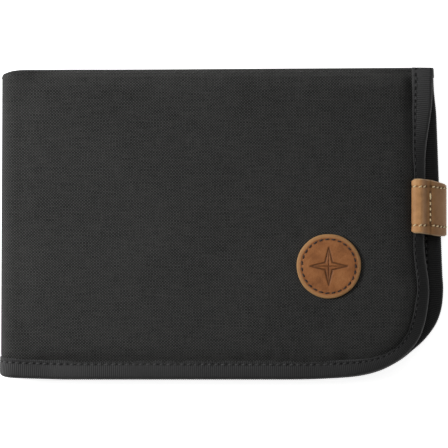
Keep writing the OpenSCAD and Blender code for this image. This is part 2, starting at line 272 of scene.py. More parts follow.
def tape_painted_light(cover, arc):
    # painted shadow of the front cover over the right side of the back tape; the front tape takes
    # its painted shade and highlight from the table
    if cover == BACK:
        return 1.0 - 0.30 * smooth((arc - 130) / 30)
    return averaged(FRONT_PAINTED_LIGHT, arc, 2)


def tape_inset(cover, arc, inset):
    """Fits an inset on the nominal tape to the tape's real width."""
    scale = (tape_width(cover, arc) - TAPE_RIM) / (TAPE_W - TAPE_RIM)
    return np.where(inset <= TAPE_RIM, inset, TAPE_RIM + (inset - TAPE_RIM) * scale)


def nearest_edge(cover, run, y):
    """Distance to the bound edge, and where along it."""
    knots, arcs = EDGES[cover].points[::4], EDGES[cover].arc[::4]
    starts, steps = knots[:-1], np.diff(knots, axis=0)
    points = np.stack([np.ravel(run), np.ravel(y)], 1)
    best, where = np.full(len(points), 1e9), np.zeros(len(points))
    squares = (steps ** 2).sum(1)
    for i in range(0, len(points), 2000):
        offset = points[i:i + 2000][:, None, :] - starts[None]
        t = np.clip((offset * steps).sum(2) / squares, 0, 1)
        distance = np.linalg.norm(offset - t[..., None] * steps, axis=2)
        nearest = distance.argmin(1)
        row = np.arange(len(nearest))
        best[i:i + 2000] = distance[row, nearest]
        where[i:i + 2000] = arcs[nearest] + t[row, nearest] * np.sqrt(squares[nearest])
    return best.reshape(np.shape(run)), where.reshape(np.shape(run))


MAP_START = (MID_SPINE, BOTTOM - 3)


def edge_maps(cover):
    """Maps of the distance to the edge, with the tape's inner edge at TAPE_W, and rim curl."""
    run, y = np.meshgrid(np.arange(MID_SPINE, 152, GRID_STEP),
                         np.arange(BOTTOM - 3, TOP + 4, GRID_STEP), indexing="ij")
    gap, arc = nearest_edge(cover, run, y)
    width = tape_width(cover, arc)
    stretch = np.where(gap < width, (TAPE_W - TAPE_RIM) / (width - TAPE_RIM), 1.0)
    fitted = np.where(gap <= TAPE_RIM, gap, TAPE_RIM + (gap - TAPE_RIM) * stretch)
    fitted = np.where(gap >= width, TAPE_W + (gap - width), fitted)
    return fitted, smooth((6.3 - width) / 2.4) * np.clip(1 - gap / 8.5, 0, 1) ** 2


GAP_MAPS, CURL_MAPS = zip(edge_maps(BACK), edge_maps(FRONT))


def edge_gap(cover, run, y):
    return sample(GAP_MAPS[cover], MAP_START, np.asarray(run, float), np.asarray(y, float))


def place(cover, run, y, depth):
    """Points in space, in mm, of (run, y, depth) on a cover."""
    run, y, depth = np.broadcast_arrays(*(np.asarray(v, float) for v in (run, y, depth)))
    if cover == FRONT:
        depth = depth + RIM_DIP * sample(CURL_MAPS[FRONT], MAP_START, run, y)
    turn = fold_turn(run)
    x = x_of(run) + depth * np.sin(turn)
    z = (np.where(run >= 0, 0.0, FOLD_R - FOLD_R * np.cos(turn))
         + np.maximum(0, -run - FOLD_ARC) + depth * np.cos(turn))
    # the spine leans out towards the bottom
    x = x - 0.5 * np.clip((TOP - y) / 106, 0, 1) * (1 - smooth(run / 50))
    return np.stack([x, y, THICK - z if cover == FRONT else z], -1)


# ---------------------------------------------------------------- depths of the cloth faces
def on_cover(run):
    return smooth((np.asarray(run, float) + 2) / 15)


def ease_depth(run, cover_depth, spine_depth):
    share = on_cover(run)
    return cover_depth * share + spine_depth * (1 - share)


def top_depth(run):
    return ease_depth(run, CANVAS_EDGE, 0.0)


def hem_depth(run):
    return ease_depth(run, HEM_IN, 1.7)


def tape_depths(run):
    """Outer and inner face of the tape."""
    return ease_depth(run, TAPE_OUT, -0.3), ease_depth(run, TAPE_IN, 2.3)


# ---------------------------------------------------------------- mesh helpers
def outward(points, faces):
    """The faces of a closed solid, turned to face out."""
    tris = np.array([(f[0], f[i], f[i + 1]) for f in faces for i in range(1, len(f) - 1)])
    a, b, c = (points - points.mean(0))[tris.T]
    return [f[::-1] for f in faces] if np.sum(a * np.cross(b, c)) < 0 else faces


def add_mesh(name, points, faces, material, uv=None, attributes=None, sharp=0):
    """A smooth object from points in mm; edges steeper than sharp degrees stay crisp."""
    points = np.asarray(points, float)
    mesh = bpy.data.meshes.new(name)
    mesh.from_pydata((points * 0.001).tolist(), [], outward(points, faces))
    mesh.validate()
    if uv is not None:
        layer = mesh.uv_layers.new(name="UVMap")
        index = np.zeros(len(mesh.loops), np.int32)
        mesh.loops.foreach_get("vertex_index", index)
        layer.data.foreach_set("uv", np.asarray(uv, np.float32)[index].ravel())
    for key, values in (attributes or {}).items():
        attribute = mesh.attributes.new(key, "FLOAT", "POINT")
        attribute.data.foreach_set("value", np.asarray(values, np.float32))
    mesh.shade_smooth()
    if sharp:
        mesh.set_sharp_from_angle(angle=math.radians(sharp))
    ob = bpy.data.objects.new(name, mesh)
    COLLECTION.objects.link(ob)
    mesh.materials.append(material)
    return ob


def tube_sides(rings, sides):
    return [(i * sides + j, i * sides + (j + 1) % sides,
             (i + 1) * sides + (j + 1) % sides, (i + 1) * sides + j)
            for i in range(rings - 1) for j in range(sides)]


def tube(rings, sides):
    """Faces of a tube with flat ends."""
    return tube_sides(rings, sides) + [tuple(range(sides))[::-1],
                                       tuple((rings - 1) * sides + j for j in range(sides))]


def double_grid(rows, columns):
    """Faces of a grid and of its copy below, and the grid's rim as (row, column)."""
    count = rows * columns
    faces = []
    for i in range(rows - 1):
        for j in range(columns - 1):
            a, b = i * columns + j, (i + 1) * columns + j
            c, d = b + 1, a + 1
            faces += [(a, b, c, d), (a + count, d + count, c + count, b + count)]
    rim = ([(0, j) for j in range(columns)]
           + [(i, columns - 1) for i in range(1, rows)]
           + [(rows - 1, j) for j in range(columns - 2, -1, -1)]
           + [(i, 0) for i in range(rows - 2, 0, -1)])
    return faces, rim


def triangulate(outline, points, margin):
    """Triangles of an outline filled with those points that lie margin or more inside it.

    Returns the points, the triangles and the indices of the outline."""
    outline, points = np.asarray(outline, float), np.asarray(points, float)
    x, y = points.T
    inside = np.zeros(len(points), bool)
    near = np.full(len(points), 1e9)
    for a, b in zip(outline, np.roll(outline, -1, axis=0)):
        with np.errstate(divide="ignore", invalid="ignore"):
            crossing = (b[0] - a[0]) * (y - a[1]) / (b[1] - a[1]) + a[0]
        inside ^= ((a[1] > y) != (b[1] > y)) & (x < crossing)
        near = np.minimum(near, segment_distance(x, y, a, b))
    count = len(outline)
    every = np.vstack([outline, points[inside & (near > margin)]])
    result = delaunay_2d_cdt([Vector(p) for p in every],
                             [(i, (i + 1) % count) for i in range(count)],
                             [list(range(count))], 1, 1e-6)
    index = {source: i for i, sources in enumerate(result[3]) for source in sources}
    return (np.array([tuple(p) for p in result[0]]), [tuple(f) for f in result[2]],
            [index[i] for i in range(count)])


def sheet(name, outline, points, outer, inner, margin, material, attributes=None):
    """A closed sheet; outer and inner map (run, y) to its two faces."""
    flat, tris, loop = triangulate(outline, points, margin)
    a, b, c = (flat[[tri[i] for tri in tris]] for i in range(3))
    if np.sum((b - a)[:, 0] * (c - a)[:, 1] - (b - a)[:, 1] * (c - a)[:, 0]) < 0:
        tris = [tri[::-1] for tri in tris]
    x, y = flat[loop].T
    if np.sum(x * np.roll(y, -1) - np.roll(x, -1) * y) <= 0:
        loop = loop[::-1]
    count = len(flat)
    run, y = flat.T
    below = [tuple(i + count for i in tri[::-1]) for tri in tris]
    rim = [(i, i + count, j + count, j) for i, j in zip(loop, loop[1:] + loop[:1])]
    values = {key: np.tile(value(run, y), 2) for key, value in (attributes or {}).items()}
    return add_mesh(name, np.vstack([outer(run, y), inner(run, y)]), tris + below + rim,
                    material, np.vstack([flat, flat]) * UV_SCALE, values, sharp=50)


def grid_normals(grid, out):
    """Normals of a grid of points, on the side that out points to."""
    normals = np.cross(np.gradient(grid, axis=0), np.gradient(grid, axis=1))
    normals /= np.linalg.norm(normals, axis=2)[..., None] + 1e-12
    if normals.reshape(-1, 3).mean(0) @ np.asarray(out, float) < 0:
        normals = -normals
    return normals


def slab(name, grid, out, thick, material, edge_round, uv=None, attributes=None):
    """A closed solid under a grid of points that faces out, with a rounded rim."""
    normals = grid_normals(grid, out)
    rows, columns = grid.shape[:2]
    on_rim = np.zeros((rows, columns), bool)
    on_rim[[0, -1]] = True
    on_rim[:, [0, -1]] = True
    rounding = edge_round * thick
    top = grid - normals * (on_rim * rounding)[..., None]
    under = grid - normals * (thick - on_rim * rounding)[..., None]
    faces, rim = double_grid(rows, columns)
    middle = []
    for i, j in rim:
        inner = grid[min(max(i, 1), rows - 2), min(max(j, 1), columns - 2)]
        push = grid[i, j] - inner
        push = push - normals[i, j] * (push @ normals[i, j])
        length = np.linalg.norm(push)
        push = push / length if length > 1e-9 else push
        middle.append(grid[i, j] - normals[i, j] * (thick / 2) + push * rounding * 0.8)
    count = rows * columns
    for i, (row, column) in enumerate(rim):
        following = (i + 1) % len(rim)
        a = row * columns + column
        b = rim[following][0] * columns + rim[following][1]
        c, d = 2 * count + i, 2 * count + following
        faces += [(a, b, d, c), (c, d, b + count, a + count)]
    edge = on_rim.ravel() * 0.75
    values = {"edge": np.concatenate([edge, edge, np.ones(len(rim))])}
    for key, value in (attributes or {}).items():
        values[key] = np.concatenate([value.ravel(), value.ravel(),
                                      np.array([value[at] for at in rim])])
    if uv is not None:
        uv = np.vstack([uv.reshape(-1, 2), uv.reshape(-1, 2), np.array([uv[at] for at in rim])])
    points = np.vstack([top.reshape(-1, 3), under.reshape(-1, 3), np.array(middle)])
    return add_mesh(name, points, faces, material, uv, values, sharp=60)


def stitch_row(at, centres, length, radius, slant=0.0, rise=0.16):
    """Points, faces and UVs of rounded stitches.

    at(along, across, above) maps distances on the cloth to space. slant is the sideways
    drift per unit of length and rise the height of a stitch's middle."""
    sides, rings = 7, 9
    angles = np.linspace(0, 2 * math.pi, sides, endpoint=False)
    t = np.linspace(-1, 1, rings)
    height = rise * (1 - np.abs(t) ** 2.6) - 0.12 * np.abs(t) ** 6
    points, faces, uvs = [], [], []
    for i, centre in enumerate(centres):
        half = length / 2 * (1 + RNG.normal(0, 0.03))
        drift = slant + RNG.normal(0, 0.024)
        radii = radius * (1 - 0.55 * np.abs(t) ** 3.2) * (1 + RNG.normal(0, 0.03))
        along = centre + half * t[:, None] + 0 * angles
        across = (half * t * drift)[:, None] + radii[:, None] * np.cos(angles)
        above = height[:, None] + radii[:, None] * 0.85 * np.sin(angles)
        points.append(at(
            np.append(along.ravel(), [centre - half * 1.04, centre + half * 1.04]),
            np.append(across.ravel(), [-half * drift, half * drift]),
            np.append(above.ravel(), [height[0] - 0.05, height[-1] - 0.05])))
        uvs.append(np.stack([np.repeat(t * half, sides), np.tile(angles, rings)], 1))
        uvs.append(np.array([[-half, 0], [half, 0]]))
        base = i * (rings * sides + 2)
        faces += [tuple(base + corner for corner in f) for f in tube_sides(rings, sides)]
        last = base + (rings - 1) * sides
        start, end = last + sides, last + sides + 1
        for j in range(sides):
            following = (j + 1) % sides
            faces += [(start, base + following, base + j), (end, last + j, last + following)]
    return np.vstack(points), faces, np.vstack(uvs)


def stitches(name, material, *rows):
    """Rows of stitches as one object."""
    faces, base = [], 0
    for points, row_faces, _ in rows:
        faces += [tuple(base + i for i in f) for f in outward(points, row_faces)]
        base += len(points)
    return add_mesh(name, np.vstack([row[0] for row in rows]), faces, material,
                    np.vstack([row[2] for row in rows]))


# ---------------------------------------------------------------- materials
class Shader:
    """A Principled material built from nodes; inputs take sockets or values."""

    def __init__(self, name):
        self.material = bpy.data.materials.new(name)
        self.material.use_nodes = True
        self.tree = self.material.node_tree
        self.principled = self.tree.nodes["Principled BSDF"]

    def feed(self, socket, value):
        if isinstance(value, bpy.types.NodeSocket):
            self.tree.links.new(value, socket)
        else:
            socket.default_value = value

    def node(self, kind, inputs, output=0, **settings):
        node = self.tree.nodes.new(kind)
        for key, value in settings.items():
            setattr(node, key, value)
        for key, value in inputs.items():
            self.feed(node.inputs[key], value)
        return node.outputs[output]

    def math(self, operation, *values, clamp=False):
        return self.node("ShaderNodeMath", dict(enumerate(values)),
                         operation=operation, use_clamp=clamp)

    def times(self, a, b, clamp=False):
        return self.math("MULTIPLY", a, b, clamp=clamp)

    def add(self, a, b, clamp=False):
        return self.math("ADD", a, b, clamp=clamp)

    def scaled(self, value, by, plus, clamp=False):
        return self.math("MULTIPLY_ADD", value, by, plus, clamp=clamp)

    def vector(self, operation, inputs):
        return self.node("ShaderNodeVectorMath", inputs, operation=operation)

    def mix(self, factor, *colours):
        a, b = (c if isinstance(c, bpy.types.NodeSocket) else (*c, 1) for c in colours)
        return self.node("ShaderNodeMix", {0: factor, 6: a, 7: b}, 2, data_type="RGBA")

    def noise(self, vector, scale, detail=3.0, roughness=0.55):
        return self.node("ShaderNodeTexNoise", {"Vector": vector, "Scale": scale,
                                                "Detail": detail, "Roughness": roughness}, "Fac")

    def ramp(self, factor, stops):
        colours = self.node("ShaderNodeValToRGB", {0: factor})
        elements = colours.node.color_ramp.elements
        while len(elements) > 1:
            elements.remove(elements[-1])
        elements[0].position, elements[0].color = stops[0][0], (*stops[0][1], 1)
        for position, colour in stops[1:]:
            elements.new(position).color = (*colour, 1)
        return colours

    def bump(self, height, distance, strength):
        return self.node("ShaderNodeBump", {"Height": height, "Distance": distance,
                                            "Strength": strength}, "Normal")

    def uv(self):
        return self.node("ShaderNodeUVMap", {}, "UV", uv_map="UVMap")

    def position(self):
        return self.node("ShaderNodeTexCoord", {}, "Object")

    def split(self, vector):
        return self.node("ShaderNodeSeparateXYZ", {0: vector}).node.outputs[:2]

    def attribute(self, name):
        return self.node("ShaderNodeAttribute", {}, "Fac", attribute_name=name)

    def surface(self, **inputs):
        """Fills the Principled inputs and returns the material."""
        for key, value in inputs.items():
            name = key.replace("_", " ").title().replace("Ior", "IOR")
            self.feed(self.principled.inputs[name], value)
        return self.material


def tint(colour, factor):
    return tuple(min(1, c * factor) for c in colour)


def weave(name, low, high, pitch, roughness=0.85, sheen=0.25, depth=0.00009, slub=0.5,
          checker=0.3):
    """Plain weave on UVs in cm; pitch in mm.

    slub is how much yarns differ, checker the contrast of warp and weft, a painted sheen."""
    g = Shader(name)
    uv = g.uv()
    wobble = g.node("ShaderNodeTexNoise", {"Vector": uv, "Scale": 1.3, "Detail": 2}, "Color",
                    noise_dimensions="2D")
    wobble = g.vector("SCALE", {0: wobble, "Scale": pitch * 0.16})
    u, v = g.split(g.vector("ADD", {0: uv, 1: wobble}))
    u, v = g.times(u, 10 / pitch), g.times(v, 10 / (pitch * 0.93))
    column, row = g.math("FLOOR", u), g.math("FLOOR", v)
    # 1 where the warp is on top, 0 where the weft is
    parity = g.math("MODULO", g.add(g.add(column, row), 4000.0), 2.0)
    arch_u = g.math("SINE", g.times(g.math("FRACT", u), math.pi))
    arch_v = g.math("SINE", g.times(g.math("FRACT", v), math.pi))
    warp = g.times(g.math("POWER", arch_u, 0.6), g.scaled(arch_v, by=0.55, plus=0.45))
    weft = g.times(g.math("POWER", arch_v, 0.6), g.scaled(arch_u, by=0.55, plus=0.45))
    height = g.scaled(weft, by=g.math("SUBTRACT", 1.0, parity), plus=g.times(warp, parity))
    # each yarn varies slowly along its length
    warp_place = g.node("ShaderNodeCombineXYZ", {0: g.times(column, 0.37), 1: g.times(v, 0.035)})
    weft_place = g.node("ShaderNodeCombineXYZ", {0: g.times(u, 0.035), 1: g.times(row, 0.41)})
    warp_tone = g.noise(warp_place, scale=2.7, detail=2.0)
    weft_tone = g.noise(weft_place, scale=2.9, detail=2.0)
    yarn = g.add(g.times(warp_tone, parity),
                 g.times(weft_tone, g.math("SUBTRACT", 1.0, parity)))
    fibre = g.noise(uv, scale=95.0, detail=2.0)
    cloud = g.noise(uv, scale=0.35)
    # yarn height goes into the colour as well as the bump: painted shade between the yarns, and
    # painted sheen that sets warp against weft
    relief = g.times(height, g.scaled(parity, by=checker, plus=1.0 - checker * 0.5))
    tone = g.scaled(relief, by=0.72, plus=g.scaled(yarn, by=slub, plus=-0.22 * slub * 2))
    tone = g.add(tone, g.scaled(fibre, by=0.30, plus=-0.15))
    cloud = g.scaled(cloud, by=0.22, plus=-0.11)
    # the hem attribute adds a painted highlight along the rolled top edge
    tone = g.add(tone, g.scaled(g.attribute("hem"), by=0.19, plus=cloud), clamp=True)
    relief = g.scaled(fibre, by=0.18, plus=g.scaled(yarn, by=0.25, plus=height))
    return g.surface(
        base_color=g.mix(tone, low, high),
        roughness=g.scaled(fibre, by=0.15, plus=roughness - 0.07),
        normal=g.bump(relief, distance=depth, strength=0.9),
        sheen_weight=sheen, sheen_roughness=0.5, specular_ior_level=0.15)


def leather(name, dark, mid, light, edge, roughness):
    """Grained leather; the edge attribute pales it, and the burn attribute darkens it where the
    leather is pressed and as painted shade.
    """
    g = Shader(name)
    place_at = g.position()
    patches = g.noise(place_at, scale=190.0, detail=4.0, roughness=0.6)
    fine = g.noise(place_at, scale=2600.0, roughness=0.6)
    pores = g.node("ShaderNodeTexVoronoi", {"Vector": place_at, "Scale": 1500.0}, "Distance",
                   feature="SMOOTH_F1")
    colour = g.ramp(patches, [(0.30, dark), (0.52, mid), (0.74, light)])
    specks = g.scaled(fine, by=-0.55, plus=0.62, clamp=True)
    colour = g.mix(g.times(specks, 0.55), colour, dark)
    raw = g.times(g.attribute("edge"), g.scaled(fine, by=0.6, plus=0.55), clamp=True)
    colour = g.mix(raw, colour, edge)
    # darkening: pressed leather on the badge, and painted shade on the loop strap
    burn_and_shade = g.times(g.attribute("burn_and_shade"), 0.8, clamp=True)
    relief = g.scaled(fine, by=0.5, plus=g.times(patches, 0.8))
    relief = g.scaled(pores, by=-0.6, plus=relief)
    return g.surface(
        base_color=g.mix(burn_and_shade, colour, tint(dark, 0.35)),
        roughness=g.scaled(fine, by=0.25, plus=roughness - 0.1),
        normal=g.bump(relief, distance=0.00016, strength=0.7),
        specular_ior_level=0.22)


def thread(name, colour, shade=0.5):
    """Two-ply twist; UV x is along the stitch in mm, y round it in radians."""
    g = Shader(name)
    along, angle = g.split(g.uv())
    twist = 1.1
    phase = g.add(g.times(along, 2 * math.pi / twist * 1.6), g.times(angle, 2.0))
    ply = g.scaled(g.math("SINE", phase), by=0.5, plus=0.5)
    fibre = g.noise(g.position(), scale=4200.0, detail=2.0)
    # ply banding in the colour is painted shade in the grooves between the plies and painted
    # highlight on their crowns
    tone = g.scaled(fibre, by=0.4, plus=g.times(ply, 0.7), clamp=True)
    return g.surface(
        base_color=g.mix(tone, tint(colour, shade), tint(colour, 1.25)),
        normal=g.bump(g.scaled(fibre, by=0.3, plus=ply), distance=0.00006, strength=0.8),
        roughness=0.6, sheen_weight=0.2)


def grosgrain(name, low, high):
    """Fibres for the ribbed tape mesh; UV x is along the tape, y across it, in mm."""
    g = Shader(name)
    uv = g.uv()
    across = g.node("ShaderNodeMapping", {0: uv, "Scale": (9.0, 1.1, 1.0)})
    across = g.noise(across, scale=2.2)
    along = g.node("ShaderNodeMapping", {0: uv, "Scale": (1.0, 7.5, 1.0)})
    along = g.noise(along, scale=1.6, detail=2.0)
    cloud = g.noise(uv, scale=0.06, detail=2.0)
    # painted highlight on the rib crowns and painted shade between them
    tone = g.scaled(g.attribute("rib"), by=0.75, plus=g.scaled(across, by=0.30, plus=-0.15))
    tone = g.add(tone, g.scaled(cloud, by=0.3, plus=-0.15))
    # pales the outer woven edge: partly its own colour, partly painted highlight
    tone = g.add(tone, g.times(g.attribute("selvedge_and_highlight"), 0.35), clamp=True)
    # the tone attribute scales the tape colour by its painted shade and painted highlight
    lit = g.vector("SCALE", {0: g.mix(tone, low, high), "Scale": g.attribute("tone")})
    # painted shade in the seam's needle holes
    hole = g.times(g.attribute("hole"), 0.95, clamp=True)
    return g.surface(
        base_color=g.mix(hole, lit, tint(low, 0.15)),
        normal=g.bump(g.scaled(along, by=0.6, plus=across), distance=0.00006, strength=0.8),
        roughness=g.scaled(across, by=0.2, plus=0.62),
        sheen_weight=0.15, specular_ior_level=0.25)


def worn_metal(name, colour, roughness):
    g = Shader(name)
    place_at = g.position()
    patches = g.noise(place_at, scale=900.0, detail=4.0)
    fine = g.noise(place_at, scale=6000.0, detail=2.0)
    return g.surface(
        base_color=g.ramp(patches, [(0.3, tint(colour, 0.55)), (0.6, colour),
                                    (0.8, tint(colour, 1.3))]),
        metallic=1.0,
        roughness=g.scaled(fine, by=0.22, plus=roughness - 0.1),
        normal=g.bump(fine, distance=0.00002, strength=0.5))


def plastic(name, colour, roughness):
    g = Shader(name)
    fine = g.noise(g.position(), scale=2500.0)
    return g.surface(
        base_color=g.mix(fine, tint(colour, 0.6), tint(colour, 1.4)),
        roughness=g.scaled(fine, by=0.2, plus=roughness - 0.1),
        normal=g.bump(fine, distance=0.00002, strength=0.4))


CANVAS = weave("canvas", low=(0.0006, 0.0006, 0.0006), high=(0.069, 0.069, 0.0668), pitch=0.52,
               sheen=0.04, depth=0.00013, slub=0.85, checker=1.0)
LINING = weave("lining", low=(0.018, 0.019, 0.021), high=(0.060, 0.062, 0.066), pitch=0.42,
               roughness=0.6, sheen=0.1, depth=0.00004, slub=0.3)
PANEL = weave("panel", low=(0.004, 0.004, 0.004), high=(0.066, 0.066, 0.0655), pitch=0.56,
              sheen=0.08, depth=0.00009, slub=0.7, checker=0.8)
ZIP_CLOTH = weave("zipcloth", low=(0.006, 0.006, 0.0065), high=(0.022, 0.022, 0.023),
                  pitch=0.40, depth=0.00005)
TAPE = grosgrain("tape", low=(0.005, 0.005, 0.0052), high=(0.064, 0.064, 0.0645))
THREAD = thread("thread", (0.040, 0.040, 0.041))
INNER_THREAD = thread("inner_thread", (0.11, 0.11, 0.112))
HEM_THREAD = thread("hem_thread", (0.005, 0.005, 0.005))
TAN_THREAD = thread("tan_thread", (0.86, 0.66, 0.38), shade=0.75)
BROWN_THREAD = thread("brown_thread", (0.020, 0.008, 0.005))
BADGE_LEATHER = leather("badge", dark=(0.20, 0.072, 0.023), mid=(0.335, 0.128, 0.042),
                        light=(0.42, 0.175, 0.062), edge=(0.50, 0.30, 0.13), roughness=0.55)
LEATHER = leather("leather", dark=(0.42, 0.205, 0.083), mid=(0.61, 0.32, 0.136),
                  light=(0.72, 0.41, 0.19), edge=(0.66, 0.47, 0.27), roughness=0.5)
METAL = worn_metal("metal", (0.36, 0.345, 0.32), roughness=0.36)
COIL = plastic("coil", (0.018, 0.018, 0.02), roughness=0.38)


# ---------------------------------------------------------------- padding, by cloth simulation
PAD_START = (-6.0, BOTTOM - 2)


def inflate_pad(cover):
    """Blows up a sewn-down pad; returns how far it moves off its plain shape, every 2 mm."""
    run, y = np.meshgrid(np.arange(PAD_START[0], 152, 2.0),
                         np.arange(PAD_START[1], TOP + 3, 2.0), indexing="ij")
    gap = edge_gap(cover, run, y)
    height = (CANVAS_EDGE * on_cover(run) * smooth((gap - 5.9) / 4.6)
              * smooth((top_gap(run, y) - 1.2) / 6.0))
    edge_run, edge_y, normal_run, normal_y = edge_frame(cover, nearest_edge(cover, run, y)[1])
    inside = (((run - edge_run) * normal_run + (y - edge_y) * normal_y > 0) & (y < TOP + 1))
    height = np.where(inside, height, 0)
    pinned = (~inside) | (gap < 5.9) | (top_gap(run, y) < 1.2) | (run < 3)
    scale = 0.01        # scene units per mm in the simulation
    top = np.stack([run, y, height], -1).reshape(-1, 3) * scale
    under = np.stack([run, y, 0 * height - 1.5], -1).reshape(-1, 3) * scale
    rows, columns = run.shape
    count = rows * columns
    faces, rim = double_grid(rows, columns)
    rim = [i * columns + j for i, j in rim]
    faces += [(a, b, b + count, a + count) for a, b in zip(rim, rim[1:] + rim[:1])]
    mesh = bpy.data.meshes.new("pad")
    mesh.from_pydata(np.vstack([top, under]).tolist(), [], faces)
    ob = bpy.data.objects.new("pad", mesh)
    COLLECTION.objects.link(ob)
    held = np.nonzero(np.concatenate([pinned.ravel(), np.ones(count, bool)]))[0]
    ob.vertex_groups.new(name="pin").add([int(i) for i in held], 1.0, "REPLACE")
    cloth = ob.modifiers.new("cloth", "CLOTH")
    settings = cloth.settings
    settings.quality = 6
    settings.mass = 0.3
    settings.tension_stiffness = settings.compression_stiffness = 18
    settings.shear_stiffness = 6
    settings.bending_stiffness = 1.2
    settings.vertex_group_mass = "pin"
    settings.use_pressure = True
    settings.uniform_pressure_force = 4.0
    settings.shrink_min = -0.016
    settings.effector_weights.gravity = 0
    cloth.collision_settings.use_collision = False
    for i in range(1, 21):
        bpy.context.scene.frame_set(i)
    result = ob.evaluated_get(bpy.context.evaluated_depsgraph_get()).to_mesh()
    moved = np.zeros(len(result.vertices) * 3)
    result.vertices.foreach_get("co", moved)
    moved = moved.reshape(-1, 3)[:count]
    bpy.context.scene.frame_set(1)
    bpy.data.objects.remove(ob)
    return np.clip((moved[:, 2] - top[:, 2]) / scale, -0.9, 0.9).reshape(rows, columns)


def refine(grid):
    """Four rows for each one, on a smooth curve."""
    index = np.linspace(0, len(grid) - 1, (len(grid) - 1) * 4 + 1)
    i = np.clip(np.floor(index).astype(int), 1, len(grid) - 3)
    return catmull_rom(grid[i - 1], grid[i], grid[i + 1], grid[i + 2], (index - i)[:, None])


PUFF = {}
for cover in (BACK, FRONT):
    PUFF[cover] = refine(refine(inflate_pad(cover)).T).T


# ---------------------------------------------------------------- canvas
def canvas_depth(cover, run, y):
    run, y = np.asarray(run, float), np.asarray(y, float)
    gap, below_top, share = edge_gap(cover, run, y), top_gap(run, y), on_cover(run)
    off_tape = smooth((gap - 5.7 - 0.5 * share) / (1.3 + 2.9 * share))
    off_top = smooth((below_top - 1.2) / 6.0)
    depth = (ease_depth(run, CANVAS_EDGE, 0.65) * (1 - off_tape)
             + off_tape * top_depth(run) * (1 - off_top))
    depth = depth + 0.16 * bell(below_top - HEM_ROW, 0.42) * share      # pressed by the stitches
    if cover in PUFF:
        depth = depth - 0.75 * sample(PUFF[cover], PAD_START, run, y)
    if cover == BACK:
        return np.maximum(depth, 0.0)
    swell = 0.25 * smooth(gap / 40) * smooth(below_top / 40) * smooth((run - 5) / 40)
    radius = np.hypot(run + FOLD_X - BADGE_MID[0], y - BADGE_MID[1])
    return depth - swell + 0.30 * (1 - smooth((radius - 9.5) / 5.0))   # sunk under the badge


def top_roll(run):
    """Height of the centre of the rolled top edge, and its radius."""
    radius = (hem_depth(run) - top_depth(run)) / 2
    return top_y(run) - radius, radius


def canvas_face(cover, run, cloth_y, inset):
    """The canvas over the rolled top and down inside; inset is 0 for its outer face."""
    centre, radius = top_roll(run)
    flat = cloth_y <= centre
    turn = np.clip((cloth_y - centre) / radius, 0, math.pi)
    down = np.maximum(0, cloth_y - centre - math.pi * radius)
    y = np.where(flat, cloth_y, centre + (radius - inset) * np.sin(turn) - down)
    rolled = (top_depth(run) + hem_depth(run)) / 2 - (radius - inset) * np.cos(turn)
    depth = canvas_depth(cover, run, np.minimum(cloth_y, centre)) + inset
    return place(cover, run, y, np.where(flat, depth, rolled))


def inset_edge(cover, inset):
    edge = EDGES[cover]
    return edge.points[::5] + edge.normals[::5] * inset


def tape_run(cover):
    """Run at the inner edge of the tape's top end."""
    return float(edge_x(cover, TOP)) - FOLD_X - TAPE_W


def cloth_top(run):
    centre, radius = top_roll(run)
    return float(centre + math.pi * radius + HEM)


def canvas(cover):
    rim = inset_edge(cover, 0.75)
    rim = rim[rim[:, 1] < top_y(rim[:, 0]) - 0.6]
    end = tape_run(cover) - 0.15
    outline = [tuple(p) for p in rim]
    outline += [(run, float(top_y(run)) - 0.3) for run in np.linspace(rim[-1, 0], end, 6)]
    outline += [(end, (float(top_y(end)) - 0.3) * (1 - t) + cloth_top(end) * t)
                for t in np.linspace(0, 1, 9)]
    columns = np.concatenate([np.arange(MID_SPINE, 2.0, 0.55), np.arange(2.0, end, 1.2)])
    outline += [(run, cloth_top(run)) for run in columns[::-1][1:]]
    outline = [p for i, p in enumerate(outline)
               if i == 0 or math.dist(p, outline[i - 1]) > 1e-4]
    outline += [(MID_SPINE, y)
                for y in np.arange(cloth_top(MID_SPINE) - 1.2, BOTTOM + 2.0, -1.2)]
    points = []
    for run in np.concatenate([columns, np.arange(end, 150, 1.2)]):
        centre, radius = (float(v) for v in top_roll(run))
        heights = list(np.arange(BOTTOM + 0.4, centre - 1.6, 1.2))
        heights += [centre - below for below in (1.2, 0.9, 0.6, 0.35)]
        heights += [centre + radius * turn for turn in np.linspace(-0.1, math.pi, 10)]
        heights += [centre + radius * math.pi + down for down in (0.8, 1.6, 2.4)]
        points += [(run, y) for y in heights]
    # hem marks the band along the rolled top edge that gets a painted highlight
    return sheet(f"{SIDE[cover]}_canvas", outline, points,
                 lambda run, y: canvas_face(cover, run, y, 0.0),
                 lambda run, y: canvas_face(cover, run, y, 0.55), 0.28, CANVAS,
                 {"hem": lambda run, y: smooth((2.9 - top_gap(run, y)) / 0.8) * on_cover(run)})


